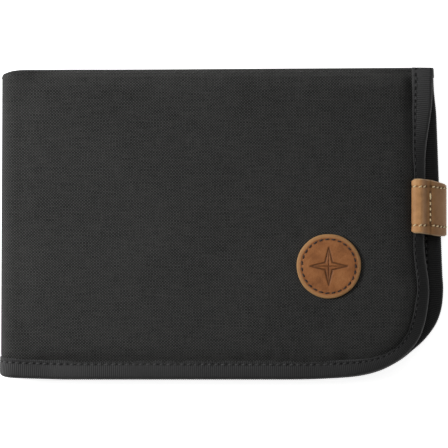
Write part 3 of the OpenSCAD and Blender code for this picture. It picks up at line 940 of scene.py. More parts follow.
# ---------------------------------------------------------------- flat sheets and the lining
def flat_sheet(name, cover, edge_inset, top_inset, left, depth, thick, material, step,
               y_high=None, y_low=None, columns=None):
    """A sheet with its outer face at depth(run, y) and thickness thick(run, y).

    It spans from run left to the bound edge, and up to the top edge, or y_low to y_high."""
    def upper(run):
        return float(top_y(run)) - top_inset if y_high is None else y_high

    rim = inset_edge(cover, edge_inset)
    rim = rim[rim[:, 0] > left + 0.2]
    rim = np.array([p for p in rim if p[1] < upper(p[0]) - 0.4])
    if y_low is not None:
        rim = rim[rim[:, 1] > y_low + 0.4]
        outline = [(run, y_low) for run in np.arange(left, rim[0, 0], step)]
        outline.append((rim[0, 0], y_low))
    else:
        bottom = EDGES[cover].points[:400]
        outline = [(left, float(np.interp(left, bottom[:, 0], bottom[:, 1])) + edge_inset)]
    outline += [tuple(p) for p in rim]
    outline += [(run, upper(run)) for run in np.arange(rim[-1, 0], left, -step)]
    outline.append((left, upper(left)))
    outline += [(left, y) for y in np.arange(upper(left) - step, outline[0][1] + 0.5, -step)]
    if columns is None:
        columns = np.arange(left + step * 0.7, 150, step)
    heights = np.arange((BOTTOM if y_low is None else y_low) + 0.7 * step,
                        TOP if y_high is None else y_high, step)
    return sheet(name, outline, [(run, y) for run in columns for y in heights],
                 lambda run, y: place(cover, run, y, depth(run, y)),
                 lambda run, y: place(cover, run, y, depth(run, y) + thick(run, y)),
                 step * 0.3, material)


def lining(cover):
    def depth(run, y):
        at_top = ease_depth(run, LINING_EDGE, 0.65)
        at_edge = ease_depth(run, LINING_EDGE, 1.3)
        middle = ease_depth(run, 2.0, 1.3)
        field = at_edge + (middle - at_edge) * smooth((edge_gap(cover, run, y) - 7.0) / 3.0)
        return at_top + (field - at_top) * smooth((top_gap(run, y) - 3.0) / 2.5)

    columns = np.concatenate([np.arange(MID_SPINE + 0.5, 2.0, 0.6), np.arange(2.0, 150, 2.0)])
    return flat_sheet(f"{SIDE[cover]}_lining_cloth", cover, 1.9, 1.3, MID_SPINE, depth,
                      lambda run, y: 0.3, LINING, step=1.6, columns=columns)


# ---------------------------------------------------------------- edge tape
def seam_centres(cover):
    count = int((EDGES[cover].arc[-1] - 2.4) / SEAM_PITCH)
    return 1.3 + SEAM_PITCH * np.arange(count + 1)


def tape_rows():
    """The tape's section as (inset, part, value, visible).

    value is an angle on the rim and in the hollow, else an offset from the tape's face."""
    leg = [6.5, 6.32, 6.05, 5.8, 5.55, 5.35, 5.15, 4.9, 4.4, 3.6, 2.8, 2.0, TAPE_RIM]
    hidden_leg = [6.45, 5.0, 3.4, 1.8]
    hollow_r = TAPE_RIM - TAPE_THICK
    rows = [(inset, "outer", 0.0, True) for inset in leg]
    rows += [(TAPE_RIM * (1 - math.cos(a)), "rim", a, True)
             for a in np.radians(np.linspace(78, -78, 11))]
    rows += [(inset, "inner", 0.0, True) for inset in leg[::-1]]
    rows.append((6.62, "inner", -TAPE_THICK / 2, False))
    rows += [(inset, "inner", -TAPE_THICK, False) for inset in hidden_leg]
    rows += [(TAPE_THICK + hollow_r * (1 - math.cos(a)), "hollow", a, False)
             for a in np.radians(np.linspace(-70, 70, 5))]
    rows += [(inset, "outer", TAPE_THICK, False) for inset in hidden_leg[::-1]]
    rows.append((6.62, "outer", TAPE_THICK / 2, False))
    return rows


def edge_tape(cover):
    """Ribbed tape folded over the bound edge, pressed in along the seam."""
    length = EDGES[cover].arc[-1]
    rib_pitch = 0.68
    arc = np.arange(0, length, rib_pitch / 4)
    edge_run, edge_y, normal_run, normal_y = edge_frame(cover, arc)
    rib = np.cos(2 * math.pi * arc / rib_pitch)
    wander = 0.10 * np.sin(arc * 0.21 + cover) + 0.05 * np.sin(arc * 0.77 + 1.3)
    to_stitch = np.abs(arc[:, None] - seam_centres(cover)[None]).min(1)
    hole = smooth((to_stitch - SEAM_PITCH * 0.18) / (SEAM_PITCH * 0.15))
    swell = 0.06 * rib + 0.22 * smooth((arc - (length - 3.2)) / 0.3)    # thicker at the top end
    up_right = smooth((arc - 150) / 15)
    corner_shade = 0.37 * bell(arc - 150, 22) if cover == FRONT else 0.0
    none = 0 * arc
    points, uvs = [], []
    values = {"rib": [], "selvedge_and_highlight": [], "hole": [], "tone": []}
    for inset, part, value, visible in tape_rows():
        run = edge_run + tape_inset(cover, arc, inset) * normal_run
        outer, inner = tape_depths(run)
        middle, half = (outer + inner) / 2, (inner - outer) / 2
        seamed = visible and part != "rim"
        raised = none
        if seamed:
            groove = (0.12 + 0.30 * hole) * bell(inset - SEAM, 0.36)
            raised = swell - groove + 0.14 * bell(inset - 3.2, 1.7)
        shifted = inset + (wander if inset > 6 else none)
        if part == "outer":
            depth = outer + value - raised
        elif part == "inner":
            depth = inner + value + raised
        elif part == "rim":
            shifted = shifted - swell * math.cos(value)
            depth = middle - (half + swell) * math.sin(value)
        else:
            depth = middle - (half - TAPE_THICK) * math.sin(value)
        fitted = tape_inset(cover, arc, shifted)
        points.append(place(cover, edge_run + fitted * normal_run,
                            edge_y + fitted * normal_y, depth))
        uvs.append(np.stack([arc, none + inset + (8 if part == "inner" else 0)], 1))
        on_selvedge = inset > 6.0 and visible
        # painted highlight on the tape's outer woven edge, stronger up the right side; elsewhere
        # the tape's painted shade and highlight
        tone = 0.80 + 0.25 * up_right if on_selvedge else tape_painted_light(cover, arc)
        # painted shade on the tape's rounded rim, deepest round the front corner
        if part == "rim" and abs(value) < 1.1:
            tone = tone * (0.62 - corner_shade)
        # painted rib highlight and shade, weaker on the rim, none on hidden faces
        rib_share = (0.65 if part == "rim" else 1.0) if visible else 0.0
        values["rib"].append((0.5 + 0.5 * rib) * rib_share)
        # a pale outer woven edge, plus a painted highlight that grows up the right side
        values["selvedge_and_highlight"].append(0.25 + 1.35 * up_right if on_selvedge else none)
        # painted shade in the seam's needle holes
        values["hole"].append(hole * bell(inset - SEAM, 0.30) if seamed else none)
        values["tone"].append(tone)
    grid = np.stack(points, 1)
    return add_mesh(f"{SIDE[cover]}_tape", grid.reshape(-1, 3), tube(*grid.shape[:2]), TAPE,
                    np.stack(uvs, 1).reshape(-1, 2),
                    {key: np.stack(rows, 1).ravel() for key, rows in values.items()}, sharp=60)


# ---------------------------------------------------------------- covers
def piece(ob, slot, *nodes, body=None):
    """Hides the CAD nodes an object replaces and attaches it to the body it rides on; slot is not
    used.
    """
    if nodes:
        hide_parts(*nodes)
    if body:
        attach(ob, body)


def cover_piece(ob, cover, slot, *nodes):
    """A piece that curves from the spine into its cover, with its transform baked."""
    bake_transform(ob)
    piece(ob, slot, *nodes)


def seam_stitches(cover):
    def row(sign):
        """sign is 1 on the tape's outer face and -1 on its inner face."""
        def at(along, across, above):
            edge_run, edge_y, normal_run, normal_y = edge_frame(cover, along)
            inset = tape_inset(cover, along, SEAM + sign * across)
            run, y = edge_run + inset * normal_run, edge_y + inset * normal_y
            face = tape_depths(run)[0 if sign > 0 else 1]
            return place(cover, run, y, face - sign * (above - 0.06))

        return stitch_row(at, seam_centres(cover), length=1.35, radius=0.21, slant=0.12)

    return stitches(f"{SIDE[cover]}_seam_stitches", THREAD, row(1), row(-1))


def hem_stitches(cover):
    def outside(along, across, above):
        y = top_y(along) - HEM_ROW + across
        return place(cover, along, y, canvas_depth(cover, along, y) - above - 0.04)

    def inside(along, across, above):
        return place(cover, along, top_y(along) - HEM_ROW - across,
                     hem_depth(along) + above - 0.03)

    centres = np.arange(MID_SPINE + 1.0, tape_run(cover) - 1.4, 3.3)
    return stitches(f"{SIDE[cover]}_hem_stitches", HEM_THREAD,
                    stitch_row(outside, centres, length=1.7, radius=0.17, slant=0.04),
                    stitch_row(inside, centres[2:], length=1.7, radius=0.18, slant=0.04))


for cover, side in enumerate(SIDE):
    def with_spine(part):
        """The spine's CAD piece goes with the back cover's."""
        return (f"spine_{part}",) if cover == BACK else ()

    cover_piece(canvas(cover), cover, "canvas",
                f"{side}_shell", f"{side}_foam", *with_spine("shell"))
    cover_piece(lining(cover), cover, "lining", f"{side}_lining", *with_spine("lining"))
    cover_piece(edge_tape(cover), cover, "tape", f"{side}_binding", *with_spine("binding"))
    cover_piece(seam_stitches(cover), cover, "thread", f"{side}_binding_thread")
    cover_piece(hem_stitches(cover), cover, "thread", f"{side}_top_thread")


# ---------------------------------------------------------------- passport pocket, front cover
MOUTH = -52.0 - FOLD_X          # run of the pocket's open left edge
MOUTH_ROW = 4.6                 # its stitches, from the open edge


def pocket_depth(run, y):
    gap = edge_gap(FRONT, run, y)
    soft = 0.22 * np.sin((run - 20) * 0.045 + 0.6) * np.sin((y + 60) * 0.06)
    raised = smooth((gap - 6.6) / 6.5) * smooth((top_gap(run, y) - 3.4) / 5.5)
    return POCKET_EDGE + (6.7 - POCKET_EDGE) * raised - np.abs(soft) * smooth((gap - 9) / 8)


def pocket_thick(run, y):
    """Thicker over the turned hem at the mouth, and pressed in by its stitches."""
    run = run - MOUTH
    return 0.38 + 0.34 * (1 - smooth((run - 5.4) / 0.35)) - 0.12 * bell(run - MOUTH_ROW, 0.35)


def passport_pocket():
    near_mouth = np.array([0.35, 0.8, 1.5, 2.4, 3.4, 4.0, 4.3, 4.6, 4.9, 5.25, 5.45, 5.65,
                           5.9, 6.5])
    columns = np.concatenate([MOUTH + near_mouth, np.arange(MOUTH + 7.5, 150, 1.4)])
    ob = flat_sheet("passport_pocket_cloth", FRONT, 2.2, 1.5, MOUTH, pocket_depth,
                    pocket_thick, PANEL, step=1.4, columns=columns)
    piece(ob, "lining", "passport_pocket", body="front_cover")

    def at(along, across, above):
        run = MOUTH + MOUTH_ROW
        face = pocket_depth(run + 0 * along, along) + 0.62
        return place(FRONT, run - across, along, face + above)

    row = stitch_row(at, np.arange(BOTTOM + 7.6, TOP - 5.0, SEAM_PITCH), length=1.7, radius=0.17)
    piece(stitches("passport_pocket_stitches", INNER_THREAD, row), "thread", body="front_cover")


passport_pocket()


# ---------------------------------------------------------------- zip pocket, back cover
PANEL_ROW = 2.3                 # panel stitches, from the panel's edge along the zip


def panel_depth(run, y):
    x = FOLD_X + run
    left = smooth((x + 68.2) / 2.6)
    wave = 0.10 * np.sin(x * 0.09 + 1.0) * np.sin(y * 0.11)
    gap = np.minimum(edge_gap(BACK, run, y), top_gap(run, y) + 4.0)
    near_edge = smooth((10.5 - gap) / 4.0)
    return (2.42 + (ZIP_TOP - 2.42) * left + (DROOP - 0.05) * near_edge * left
            - np.abs(wave) * left * 0.8)


def zip_panel(name, sign):
    """The cloth above (sign 1) or below (sign -1) the zip."""
    edge = ZIP_Y + sign * ZIP_GAP

    def thick(run, y):
        away = np.abs(y - edge)
        return 0.36 + 0.26 * (1 - smooth((away - 2.9) / 0.3)) - 0.10 * bell(away - PANEL_ROW, 0.3)

    span = {"step": 1.0, "y_low": edge} if sign > 0 else {"step": 1.5, "y_high": edge}
    left = box_mm("zip_panel_lower")[0][0] - FOLD_X
    ob = flat_sheet(f"zip_panel_{name}_cloth", BACK, 2.2, 1.5, left, panel_depth, thick, PANEL,
                    **span)
    piece(ob, "lining", f"zip_panel_{name}", body="back_cover")

    def at(along, across, above):
        y = edge + sign * PANEL_ROW
        return place(BACK, along, y - across, panel_depth(along, y + 0 * along) + 0.52 + above)

    right = box_mm("zip_panel_upper")[1][0] - FOLD_X
    row = stitch_row(at, np.arange(left + 2.4, right - 7.5, 2.1), length=1.55, radius=0.15)
    piece(stitches(f"zip_panel_{name}_stitches", INNER_THREAD, row), "thread",
          body="back_cover")


def zip_tape(name):
    low, high = box_mm(f"zip_tape_{name}")
    x, y = np.meshgrid(np.linspace(low[0], high[0], 160), np.linspace(low[1], high[1], 14),
                       indexing="ij")
    z = high[2] + 0.03 * np.cos(2 * math.pi * x / 1.55) - 0.02
    ob = slab(f"zip_tape_{name}_cloth", np.stack([x, y, z], -1), (0, 0, 1), 0.3, ZIP_CLOTH,
              edge_round=0.35, uv=np.stack([x, y], -1) * UV_SCALE)
    piece(ob, "zip_cloth", f"zip_tape_{name}", body="back_cover")


def zip_coil(name, sign):
    """One side of the coil, half a pitch off the other, with its stitches."""
    low, high = box_mm(f"zip_coil_{name}")
    wire, pitch, sides = 0.27, 1.06, 7
    radius_y, radius_z = (high[1] - low[1]) / 2 + 0.05, (high[2] - low[2]) / 2
    turns = (high[0] - low[0] - 2 * wire) / pitch
    angle = np.linspace(0, 2 * math.pi * turns, int(turns * 14))

    def squared(value):
        return np.sign(value) * np.abs(value) ** 0.75

    x = low[0] + wire + pitch * (angle / (2 * math.pi)) + (0.5 * pitch if sign > 0 else 0)
    y = ((low[1] + high[1]) / 2 - sign * 0.06
         + (radius_y - wire) * squared(np.cos(angle)) * sign)
    z = (low[2] + high[2]) / 2 + (radius_z - wire) * squared(np.sin(angle))
    centres = np.stack([x, y, z], -1)
    centres = centres[centres[:, 0] < high[0] - wire]
    tangents = np.gradient(centres, axis=0)
    tangents /= np.linalg.norm(tangents, axis=1)[:, None]
    first = np.cross(tangents, np.array([1.0, 0, 0]))
    first /= np.linalg.norm(first, axis=1)[:, None]
    second = np.cross(tangents, first)
    around = np.linspace(0, 2 * math.pi, sides, endpoint=False)[None, :, None]
    rings = centres[:, None] + wire * (np.cos(around) * first[:, None]
                                       + np.sin(around) * second[:, None])
    ob = add_mesh(f"zip_coil_{name}_teeth", rings.reshape(-1, 3), tube(len(centres), sides),
                  COIL)
    piece(ob, "zip_plastic", f"zip_coil_{name}", body="back_cover")

    def at(along, across, above):
        return np.stack([along, ZIP_Y + sign * 2.55 + across, 3.47 + above], -1)

    row = stitch_row(at, np.arange(low[0] + 0.6, high[0], 1.5), length=1.2, radius=0.12,
                     rise=0.08)
    piece(stitches(f"zip_coil_{name}_stitches", INNER_THREAD, row), "thread", body="back_cover")


def metal_part(name, bevel):
    """Softens the edges of a CAD piece and makes it metal."""
    ob = frame["nodes"][name]
    ob.data.materials.clear()
    ob.data.materials.append(METAL)
    soft = ob.modifiers.new("soft edges", "BEVEL")
    soft.width = bevel
    soft.segments = 3
    soft.limit_method = "ANGLE"
    soft.angle_limit = math.radians(35)
    soft.use_clamp_overlap = True
    soft.harden_normals = True
    ob.data.shade_smooth()
    ob.data.set_sharp_from_angle(angle=math.radians(38))


zip_panel("upper", 1)
zip_panel("lower", -1)
for name, sign in (("upper", 1), ("lower", -1)):
    zip_tape(name)
    zip_coil(name, sign)
for name, bevel in (("zip_slider", 0.0001), ("zip_puller", 0.00005), ("zip_stops", 0.0001)):
    metal_part(name, bevel)


# ---------------------------------------------------------------- card pockets, back cover
PANEL_FACE = ZIP_TOP + 0.37
# waviness: rate and phase along x, then along y
CARD_WAVES = {"card_pocket_rear": (0.07, 2, 0.09, 0), "card_pocket_front": (0.06, 1, 0.08, 1)}


def card_face(name, x, y):
    """Height of a pocket: sewn flat on three sides, raised at its open top."""
    low, high = box_mm(name)
    base = PANEL_FACE
    if name == "card_pocket_front":
        rear_low, rear_high = box_mm("card_pocket_rear")
        inside = np.minimum(np.minimum(x - rear_low[0], rear_high[0] - x),
                            np.minimum(y - rear_low[1], rear_high[1] + 50 - y))
        rear = card_face("card_pocket_rear", x, y)
        base = base + (rear - base) * smooth((inside + 0.9) / 0.9)
    lift = (smooth((x - low[0] - 1.6) / 5.0) * smooth((high[0] - x - 1.6) / 5.0)
            * smooth((y - low[1] - 1.6) / 5.0))
    rate_x, phase_x, rate_y, phase_y = CARD_WAVES[name]
    wave = np.abs(np.sin(x * rate_x + phase_x)) * np.abs(np.cos(y * rate_y + phase_y))
    return base + 0.42 + (high[2] - base - 0.42) * lift - 0.15 * lift * (1 - wave)


def card_pocket(name):
    low, high = box_mm(name)
    top_row = 3.0               # hem stitches below the open top
    columns = np.concatenate([[low[0], low[0] + 0.3], np.arange(low[0] + 0.9, high[0] - 0.6, 1.0),
                              [high[0] - 0.3, high[0]]])
    near_top = np.array([4.1, 3.9, 3.7, 3.3, 3.0, 2.7, 2.2, 1.6, 0.9, 0.3, 0.0])
    rows = np.concatenate([[low[1], low[1] + 0.3], np.arange(low[1] + 0.9, high[1] - 4.4, 1.0),
                           high[1] - near_top])
    x, y = np.meshgrid(columns, rows, indexing="ij")
    below = high[1] - y
    hem = 0.16 * (1 - smooth((below - 3.7) / 0.4)) - 0.1 * bell(below - top_row, 0.3)
    ob = slab(f"{name}_cloth", np.stack([x, y, card_face(name, x, y) + hem], -1), (0, 0, 1),
              0.36, PANEL, edge_round=0.4, uv=np.stack([x, y], -1) * UV_SCALE)
    piece(ob, "lining", name, body="back_cover")

    def upright(x):
        return lambda along, across, above: np.stack(
            [x - across, along, card_face(name, x + 0 * along, along) + above - 0.02], -1)

    def level(y, offset):
        return lambda along, across, above: np.stack(
            [along, y + across, card_face(name, along, y + 0 * along) + above + offset], -1)

    heights = np.arange(low[1] + 1.2, high[1] - 0.8, 2.1)
    widths = np.arange(low[0] + 2.1, high[0] - 1.2, 2.1)
    lines = ((upright(low[0] + 0.95), heights), (upright(high[0] - 0.95), heights),
             (level(low[1] + 0.95, -0.02), widths), (level(high[1] - top_row, 0.04), widths))
    ob = stitches(f"{name}_stitches", INNER_THREAD,
                  *[stitch_row(at, centres, length=1.5, radius=0.15, slant=0.03)
                    for at, centres in lines])
    piece(ob, "thread", body="back_cover")


card_pocket("card_pocket_rear")
card_pocket("card_pocket_front")


# ---------------------------------------------------------------- pull tab
def pull_tab():
    low, high = box_mm("zip_pull_tab")
    half, middle = (high[1] - low[1]) / 2, (high[1] + low[1]) / 2
    row = 0.66                  # stitch rows, as a share of the half width
    x, across = np.meshgrid(np.linspace(low[0], high[0], 44), np.linspace(-1, 1, 17),
                            indexing="ij")
    left = np.clip((x - low[0]) / 2.4, 0, 1)
    right = np.clip((high[0] - x) / 1.2, 0, 1)
    width = (half * (1 - 0.30 * (1 - np.sqrt(1 - (1 - left) ** 2)))
             * (1 - 0.16 * (1 - np.sqrt(1 - (1 - right) ** 2))))
    z = (high[2] - 0.22 + 0.132 * bell(x - 38.1, 0.9) - 0.10 * across ** 2
         - 0.08 * bell(np.abs(across) - row, 0.12))
    ob = slab("pull_tab_leather", np.stack([x, middle + across * width, z], -1), (0, 0, 1), 1.5,
              LEATHER, edge_round=0.3, attributes={"burn_and_shade": 0 * x})
    piece(ob, "leather", "zip_pull_tab", body="pull")

    def line(sign):
        return stitch_row(
            lambda along, across, above: np.stack(
                [along, middle + sign * half * row + across, high[2] - 0.36 + above], -1),
            np.arange(low[0] + 2.2, high[0] - 3.0, 1.9), length=1.35, radius=0.17, slant=0.05)

    piece(stitches("pull_tab_stitches", TAN_THREAD, line(-1), line(1)), "tan_thread",
          body="pull")


pull_tab()


# ---------------------------------------------------------------- badge
BADGE_R = (BADGE_HIGH[0] - BADGE_LOW[0]) / 2
BADGE_THICK = 1.25
BADGE_Z = THICK + 0.30 - float(canvas_depth(FRONT, np.array([BADGE_MID[0] - FOLD_X]),
                                            np.array([BADGE_MID[1]]))[0])
# rounded side of the disc: nominal radius, and drop below the face
NOMINAL_R = 10.9
BADGE_SIDE = [(10.1, 0.01), (10.35, 0.05), (10.55, 0.13), (10.72, 0.26), (10.82, 0.42),
              (10.88, 0.6), (10.9, 0.85), (10.9, 1.25), (10.86, 1.42), (10.7, 1.5)]


def star_distance(x, y):
    """Distance to the outline and creases of a four-pointed star."""
    corners = []
    for i in range(8):
        angle, radius = math.radians(45 * i + 90), (6.3, 1.75)[i % 2]
        corners.append((radius * math.cos(angle), radius * math.sin(angle)))
    best = np.full(np.shape(x), 1e9)
    for i in range(8):
        best = np.minimum(best, segment_distance(x, y, corners[i], corners[(i + 1) % 8]))
    for tip in corners[::2]:
        best = np.minimum(best, segment_distance(x, y, (0, 0), tip) + 0.12)
    return best


def badge():
    """A domed disc with a pressed star and a pressed ring under its stitches."""
    sides = 210
    angles = np.linspace(0, 2 * math.pi, sides, endpoint=False)
    wobble = 1 + 0.004 * np.sin(3 * angles + 0.4) + 0.003 * np.sin(7 * angles)
    face = BADGE_Z + BADGE_THICK
    rings, edge, burn_and_shade = [], [], []

    def add_ring(x, y, z, pale, dark):
        rings.append(np.stack([BADGE_MID[0] + x * wobble, BADGE_MID[1] + y * wobble,
                               z + 0 * x], -1))
        edge.append(pale + 0 * x)
        burn_and_shade.append(dark + 0 * x)

    for radius in np.concatenate([np.arange(0.12, 7.2, 0.16), np.arange(7.3, 8.6, 0.26),
                                  np.arange(8.6, 9.9, 0.14)]):
        x, y = radius * np.cos(angles), radius * np.sin(angles)
        star = bell(star_distance(x, y), 0.28)
        seam = bell(radius - 9.15, 0.28)
        dome = 0.16 * (1 - (radius / BADGE_R) ** 2)
        uneven = 0.02 * np.sin(x * 2.3 + 1) * np.sin(y * 2.9)
        add_ring(x, y, face + dome + uneven - 0.26 * star - 0.12 * seam,
                 0.35 * smooth((radius - 9.55) / 0.3), 1.1 * star + 0.35 * seam)
    for nominal, drop in BADGE_SIDE:
        radius = nominal * BADGE_R / NOMINAL_R
        add_ring(radius * np.cos(angles), radius * np.sin(angles), face - drop,
                 0.45 + smooth((drop - 0.05) / 0.3) * 0.5, 0.0)
    count = len(rings)
    faces = [(i * sides + j, (i + 1) * sides + j, (i + 1) * sides + (j + 1) % sides,
              i * sides + (j + 1) % sides) for i in range(count - 1) for j in range(sides)]
    top, last = count * sides, (count - 1) * sides
    for j in range(sides):
        following = (j + 1) % sides
        faces += [(top, j, following), (top + 1, last + following, last + j)]
    centres = [[*BADGE_MID[:2], face + 0.16], [*BADGE_MID[:2], face - 1.5]]
    ob = add_mesh("badge_leather", np.vstack(rings + [np.array(centres)]), faces, BADGE_LEATHER,
                  attributes={"edge": np.concatenate(edge + [[0, 0]]),
                              "burn_and_shade": np.concatenate(burn_and_shade + [[0, 0]])})
    piece(ob, "leather", "badge", body="front_cover")


def badge_stitches():
    count, radius = 27, 9.1

    def at(along, across, above):
        angle = along / radius
        return np.stack([BADGE_MID[0] + (radius + across) * np.cos(angle),
                         BADGE_MID[1] - (radius + across) * np.sin(angle),
                         BADGE_Z + BADGE_THICK - 0.05 + above], -1)

    row = stitch_row(at, np.arange(count) * 2 * math.pi * radius / count, length=1.5,
                     radius=0.27, slant=0.12)
    piece(stitches("badge_stitches", BROWN_THREAD, row), "brown_thread", "badge_thread",
          body="front_cover")


badge()
badge_stitches()


# ---------------------------------------------------------------- leather loop, right edge
def smooth_line(points, count):
    points = np.array(points, float)
    lengths = arc_lengths(points)
    padded = np.vstack([2 * points[0] - points[1], points, 2 * points[-1] - points[-2]])
    at = np.linspace(0, lengths[-1], count)
    i = np.clip(np.searchsorted(lengths, at, side="right") - 1, 0, len(points) - 2)
    t = ((at - lengths[i]) / (lengths[i + 1] - lengths[i]))[:, None]
    return catmull_rom(padded[i], padded[i + 1], padded[i + 2], padded[i + 3], t)


# profiles (x, z): the strap over the edge and down its right side, and the leather under it
STRAP = smooth_line(
    [(63.5, 12.45), (63.8, 13.3), (64.65, 13.9), (65.7, 14.05), (66.6, 13.95), (67.3, 13.5),
     (67.95, 12.75), (68.6, 12.0), (69.3, 11.5), (70.0, 11.25), (70.5, 11.15), (71.0, 11.05),
     (71.8, 10.55), (72.9, 9.6), (74.0, 8.6), (75.0, 7.5), (75.65, 6.4), (75.95, 5.3),
     (76.1, 4.0), (76.15, 2.7)], 150)
UNDER = smooth_line(
    [(63.6, 7.95), (64.5, 7.6), (66.2, 7.45), (67.8, 7.55), (68.9, 8.0), (69.7, 8.6),
     (70.3, 9.0), (70.9, 9.15)], 40)
LOOP_LOW, LOOP_HIGH = box_mm("loop_sleeve")
FLEX_X = JOINT["loop_flex"]["pos_m"][0] * 1000
STRAP_ARC = arc_lengths(STRAP)
CROSS_ARC = float(np.interp(70.05, STRAP[:, 0], STRAP_ARC))     # the row across the strap
SLEEVE_PITCH, TAIL_PITCH = 2.05, 1.75
SLEEVE_CENTRES = np.arange(1.75, CROSS_ARC - 0.9, SLEEVE_PITCH)
TAIL_CENTRES = np.arange(CROSS_ARC + 1.3, STRAP_ARC[-1] - 1.0, TAIL_PITCH)
CROSS_CENTRES = np.array([9.2, 6.8, 4.9, 3.05, 1.2])
CROSS_HOLES = (10.75, 7.75, 5.85, 4.0, 2.1, 0.25)
# places across the strap, 0 at its lower edge and 1 at its upper, denser by the stitch rows
ACROSS = np.unique(np.round(np.concatenate(
    [np.linspace(0, 0.03, 4), np.linspace(0.06, 0.94, 34), np.linspace(0.13, 0.22, 16),
     np.linspace(0.82, 0.92, 16), np.linspace(0.97, 1, 4)]), 4))


def stitch_rows_y(x):
    """Heights of the lower and upper stitch rows."""
    share = smooth((x - FLEX_X + 0.5) / 5.0)
    return -0.6 - 0.6 * share, 12.55 - 0.55 * share


def loop_grid(line):
    x, z = line[:, :1] + 0 * ACROSS, line[:, 1:] + 0 * ACROSS
    rounded = bell(x - 63.2, 0.8)
    taper = np.clip((x - 66.8) / 9.2, 0, 1) ** 1.5
    high = LOOP_HIGH[1] + 0.05 - 1.75 * taper - 0.40 * rounded
    low = LOOP_LOW[1] + 1.1 - 1.1 * smooth((x - 66.0) / 8.5) + 0.30 * rounded
    return np.stack([x, low + (high - low) * ACROSS, z], -1)


def flex(ob):
    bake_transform(ob)


def loop_strap():
    """The strap, pressed along its stitch rows and pricked between the stitches."""
    grid = loop_grid(STRAP)
    x, y = grid[..., 0], grid[..., 1]
    arc = STRAP_ARC[:, None] + 0 * ACROSS
    rows = stitch_rows_y(x)
    press = 0.13 * sum(bell(y - row, 0.42) for row in rows)
    holes = 0 * arc
    for centres, pitch in ((SLEEVE_CENTRES, SLEEVE_PITCH), (TAIL_CENTRES, TAIL_PITCH)):
        for centre in np.concatenate([[centres[0] - pitch], centres]) + pitch / 2:
            for row in rows:
                holes += bell(arc - centre, 0.34) * bell(y - row, 0.30)
    for height in CROSS_HOLES:
        holes += bell(arc - CROSS_ARC, 0.3) * bell(y - height, 0.3)
    holes = np.clip(holes, 0, 1)
    out = (0.4, 0, 1)
    pressed = grid - grid_normals(grid, out) * (press + 0.22 * holes)[..., None]
    # painted shade on the slope, past it and in the valley; darker along the pressed stitch rows,
    # and painted shade in the pricked holes
    burn_and_shade = (0.50 * smooth((x - 66.7) / 1.5) + 0.22 * bell(x - 68.4, 0.75)
            + 0.20 * smooth((x - 69.6) / 0.5) + 0.30 * bell(x - 70.1, 0.5)
            + press + 0.95 * holes)
    ob = slab("loop_strap", pressed, out, 1.15, LEATHER, edge_round=0.28,
              attributes={"burn_and_shade": burn_and_shade})
    flex(ob)
    piece(ob, "leather", "loop_tail")


def loop_under():
    grid = loop_grid(UNDER)
    ob = slab("loop_under", grid, (0, 0, -1), 1.0, LEATHER, edge_round=0.28,
              attributes={"burn_and_shade": 0 * grid[..., 0]})
    piece(ob, "leather", "loop_sleeve", body="front_cover")


def strap_point(arc, y, above):
    """A point above the strap at arc along its profile."""
    def profile(at):
        return np.interp(at, STRAP_ARC, STRAP[:, 0]), np.interp(at, STRAP_ARC, STRAP[:, 1])

    (x, z), (x1, z1), (x0, z0) = profile(arc), profile(arc + 0.15), profile(arc - 0.15)
    length = np.hypot(x1 - x0, z1 - z0)
    return np.stack([x - above * (z1 - z0) / length, y, z + above * (x1 - x0) / length], -1)


def strap_rows(centres, **shape):
    """The lower row, then the upper one."""
    def row(which):
        def at(along, across, above):
            y = stitch_rows_y(np.interp(along, STRAP_ARC, STRAP[:, 0]))[which]
            return strap_point(along, y + across, above - 0.16)

        return stitch_row(at, centres, **shape)

    return [row(0), row(1)]


def loop_stitches():
    def crosswise(along, across, above):
        return strap_point(CROSS_ARC - across + 0 * along, along, above - 0.02)

    ob = stitches("loop_sleeve_stitches", TAN_THREAD,
                  *strap_rows(SLEEVE_CENTRES, length=1.25, radius=0.25, slant=0.5),
                  stitch_row(crosswise, CROSS_CENTRES[:1], length=2.2, radius=0.30),
                  stitch_row(crosswise, CROSS_CENTRES[1:], length=1.15, radius=0.24, slant=0.1))
    piece(ob, "tan_thread", "loop_sleeve_thread", body="front_cover")
    ob = stitches("loop_tail_stitches", TAN_THREAD,
                  *strap_rows(TAIL_CENTRES, length=1.1, radius=0.23, slant=0.3))
    flex(ob)
    piece(ob, "tan_thread", "loop_tail_thread")


loop_strap()
loop_under()
loop_stitches()


# ---------------------------------------------------------------- stage, light, camera; in metres
def floor():
    size, z = 4.0, -0.0006
    mesh = bpy.data.meshes.new("floor")
    mesh.from_pydata([(-size, -size, z), (size, -size, z), (size, size, z), (-size, size, z)],
                     [], [(0, 1, 2, 3)])
    ob = bpy.data.objects.new("floor", mesh)
    COLLECTION.objects.link(ob)
    mesh.materials.append(Shader("floor").surface(
        base_color=(0.97, 0.97, 0.97, 1), roughness=0.9, specular_ior_level=0.1,
        emission_color=(1, 1, 1, 1), emission_strength=0.80))


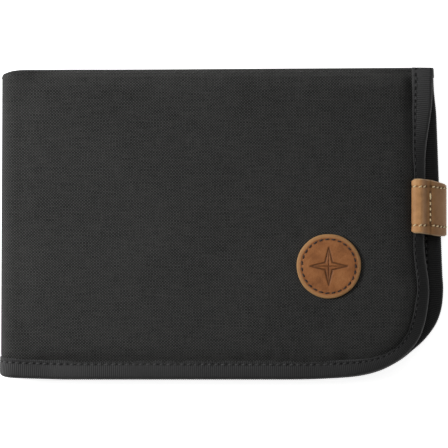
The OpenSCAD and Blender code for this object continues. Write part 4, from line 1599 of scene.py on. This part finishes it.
def white_world():
    """White to the camera, dim as a light."""
    scene.world = scene.world or bpy.data.worlds.new("World")
    scene.world.use_nodes = True
    tree = scene.world.node_tree
    background = tree.nodes["Background"]
    background.inputs["Color"].default_value = (1.0, 1.0, 1.0, 1)
    ray = tree.nodes.new("ShaderNodeLightPath")
    strength = tree.nodes.new("ShaderNodeMath")
    strength.operation = "MULTIPLY_ADD"
    strength.inputs[1].default_value = 0.85
    strength.inputs[2].default_value = 0.20
    tree.links.new(ray.outputs["Is Camera Ray"], strength.inputs[0])
    tree.links.new(strength.outputs[0], background.inputs["Strength"])


def area_light(name, location, target, size, power):
    light = bpy.data.lights.new(name, "AREA")
    light.shape = "SQUARE"
    light.size = size
    light.energy = power
    ob = bpy.data.objects.new(name, light)
    COLLECTION.objects.link(ob)
    ob.location = location
    aim = Vector(target) - Vector(location)
    ob.rotation_euler = aim.to_track_quat("-Z", "Y").to_euler()


def camera():
    """Looks straight down, and backs off as the cover or the loop opens."""
    view_width, distance = 0.1516, 1.0
    data = bpy.data.cameras.new("camera")
    data.sensor_width = 36
    data.lens = 36 * distance / view_width
    data.clip_start, data.clip_end = 0.05, 20
    ob = bpy.data.objects.new("camera", data)
    COLLECTION.objects.link(ob)
    ob.location = (0, -0.00015, THICK / 1000 + distance)

    def follow(body, from_x, to_x, to_z):
        """Shifts the camera in x and z as the body moves in x."""
        con = ob.constraints.new("TRANSFORM")
        con.target = frame["bodies"][body]
        con.map_from, con.map_to = "LOCATION", "LOCATION"
        con.target_space, con.owner_space = "WORLD", "WORLD"
        con.mix_mode = "ADD"
        con.from_min_x, con.from_max_x = from_x
        con.map_to_x_from, con.map_to_z_from = "X", "X"
        con.to_min_x, con.to_max_x = to_x
        con.to_min_z, con.to_max_z = to_z

    follow("front_cover", from_x=(-0.15924, 0.0), to_x=(-0.077, 0.0), to_z=(1.10, 0.0))
    # the lifted loop reaches past the edge, with the cover closed and with it open
    follow("loop_flap", from_x=(0.0, 0.0755), to_x=(0.0, 0.006), to_z=(0.0, 0.11))
    follow("loop_flap", from_x=(-0.2347, -0.1595), to_x=(-0.007, 0.0), to_z=(0.10, 0.0))
    scene.camera = ob


floor()
scene = bpy.context.scene
scene.view_settings.view_transform = "Standard"
scene.view_settings.look = "None"
white_world()
area_light("key", location=(-0.235, 0.055, 0.245), target=(-0.02, 0, 0), size=0.16, power=0.98)
area_light("fill", location=(0.10, 0.45, 0.85), target=(0, 0, 0), size=0.6, power=1.2)
camera()
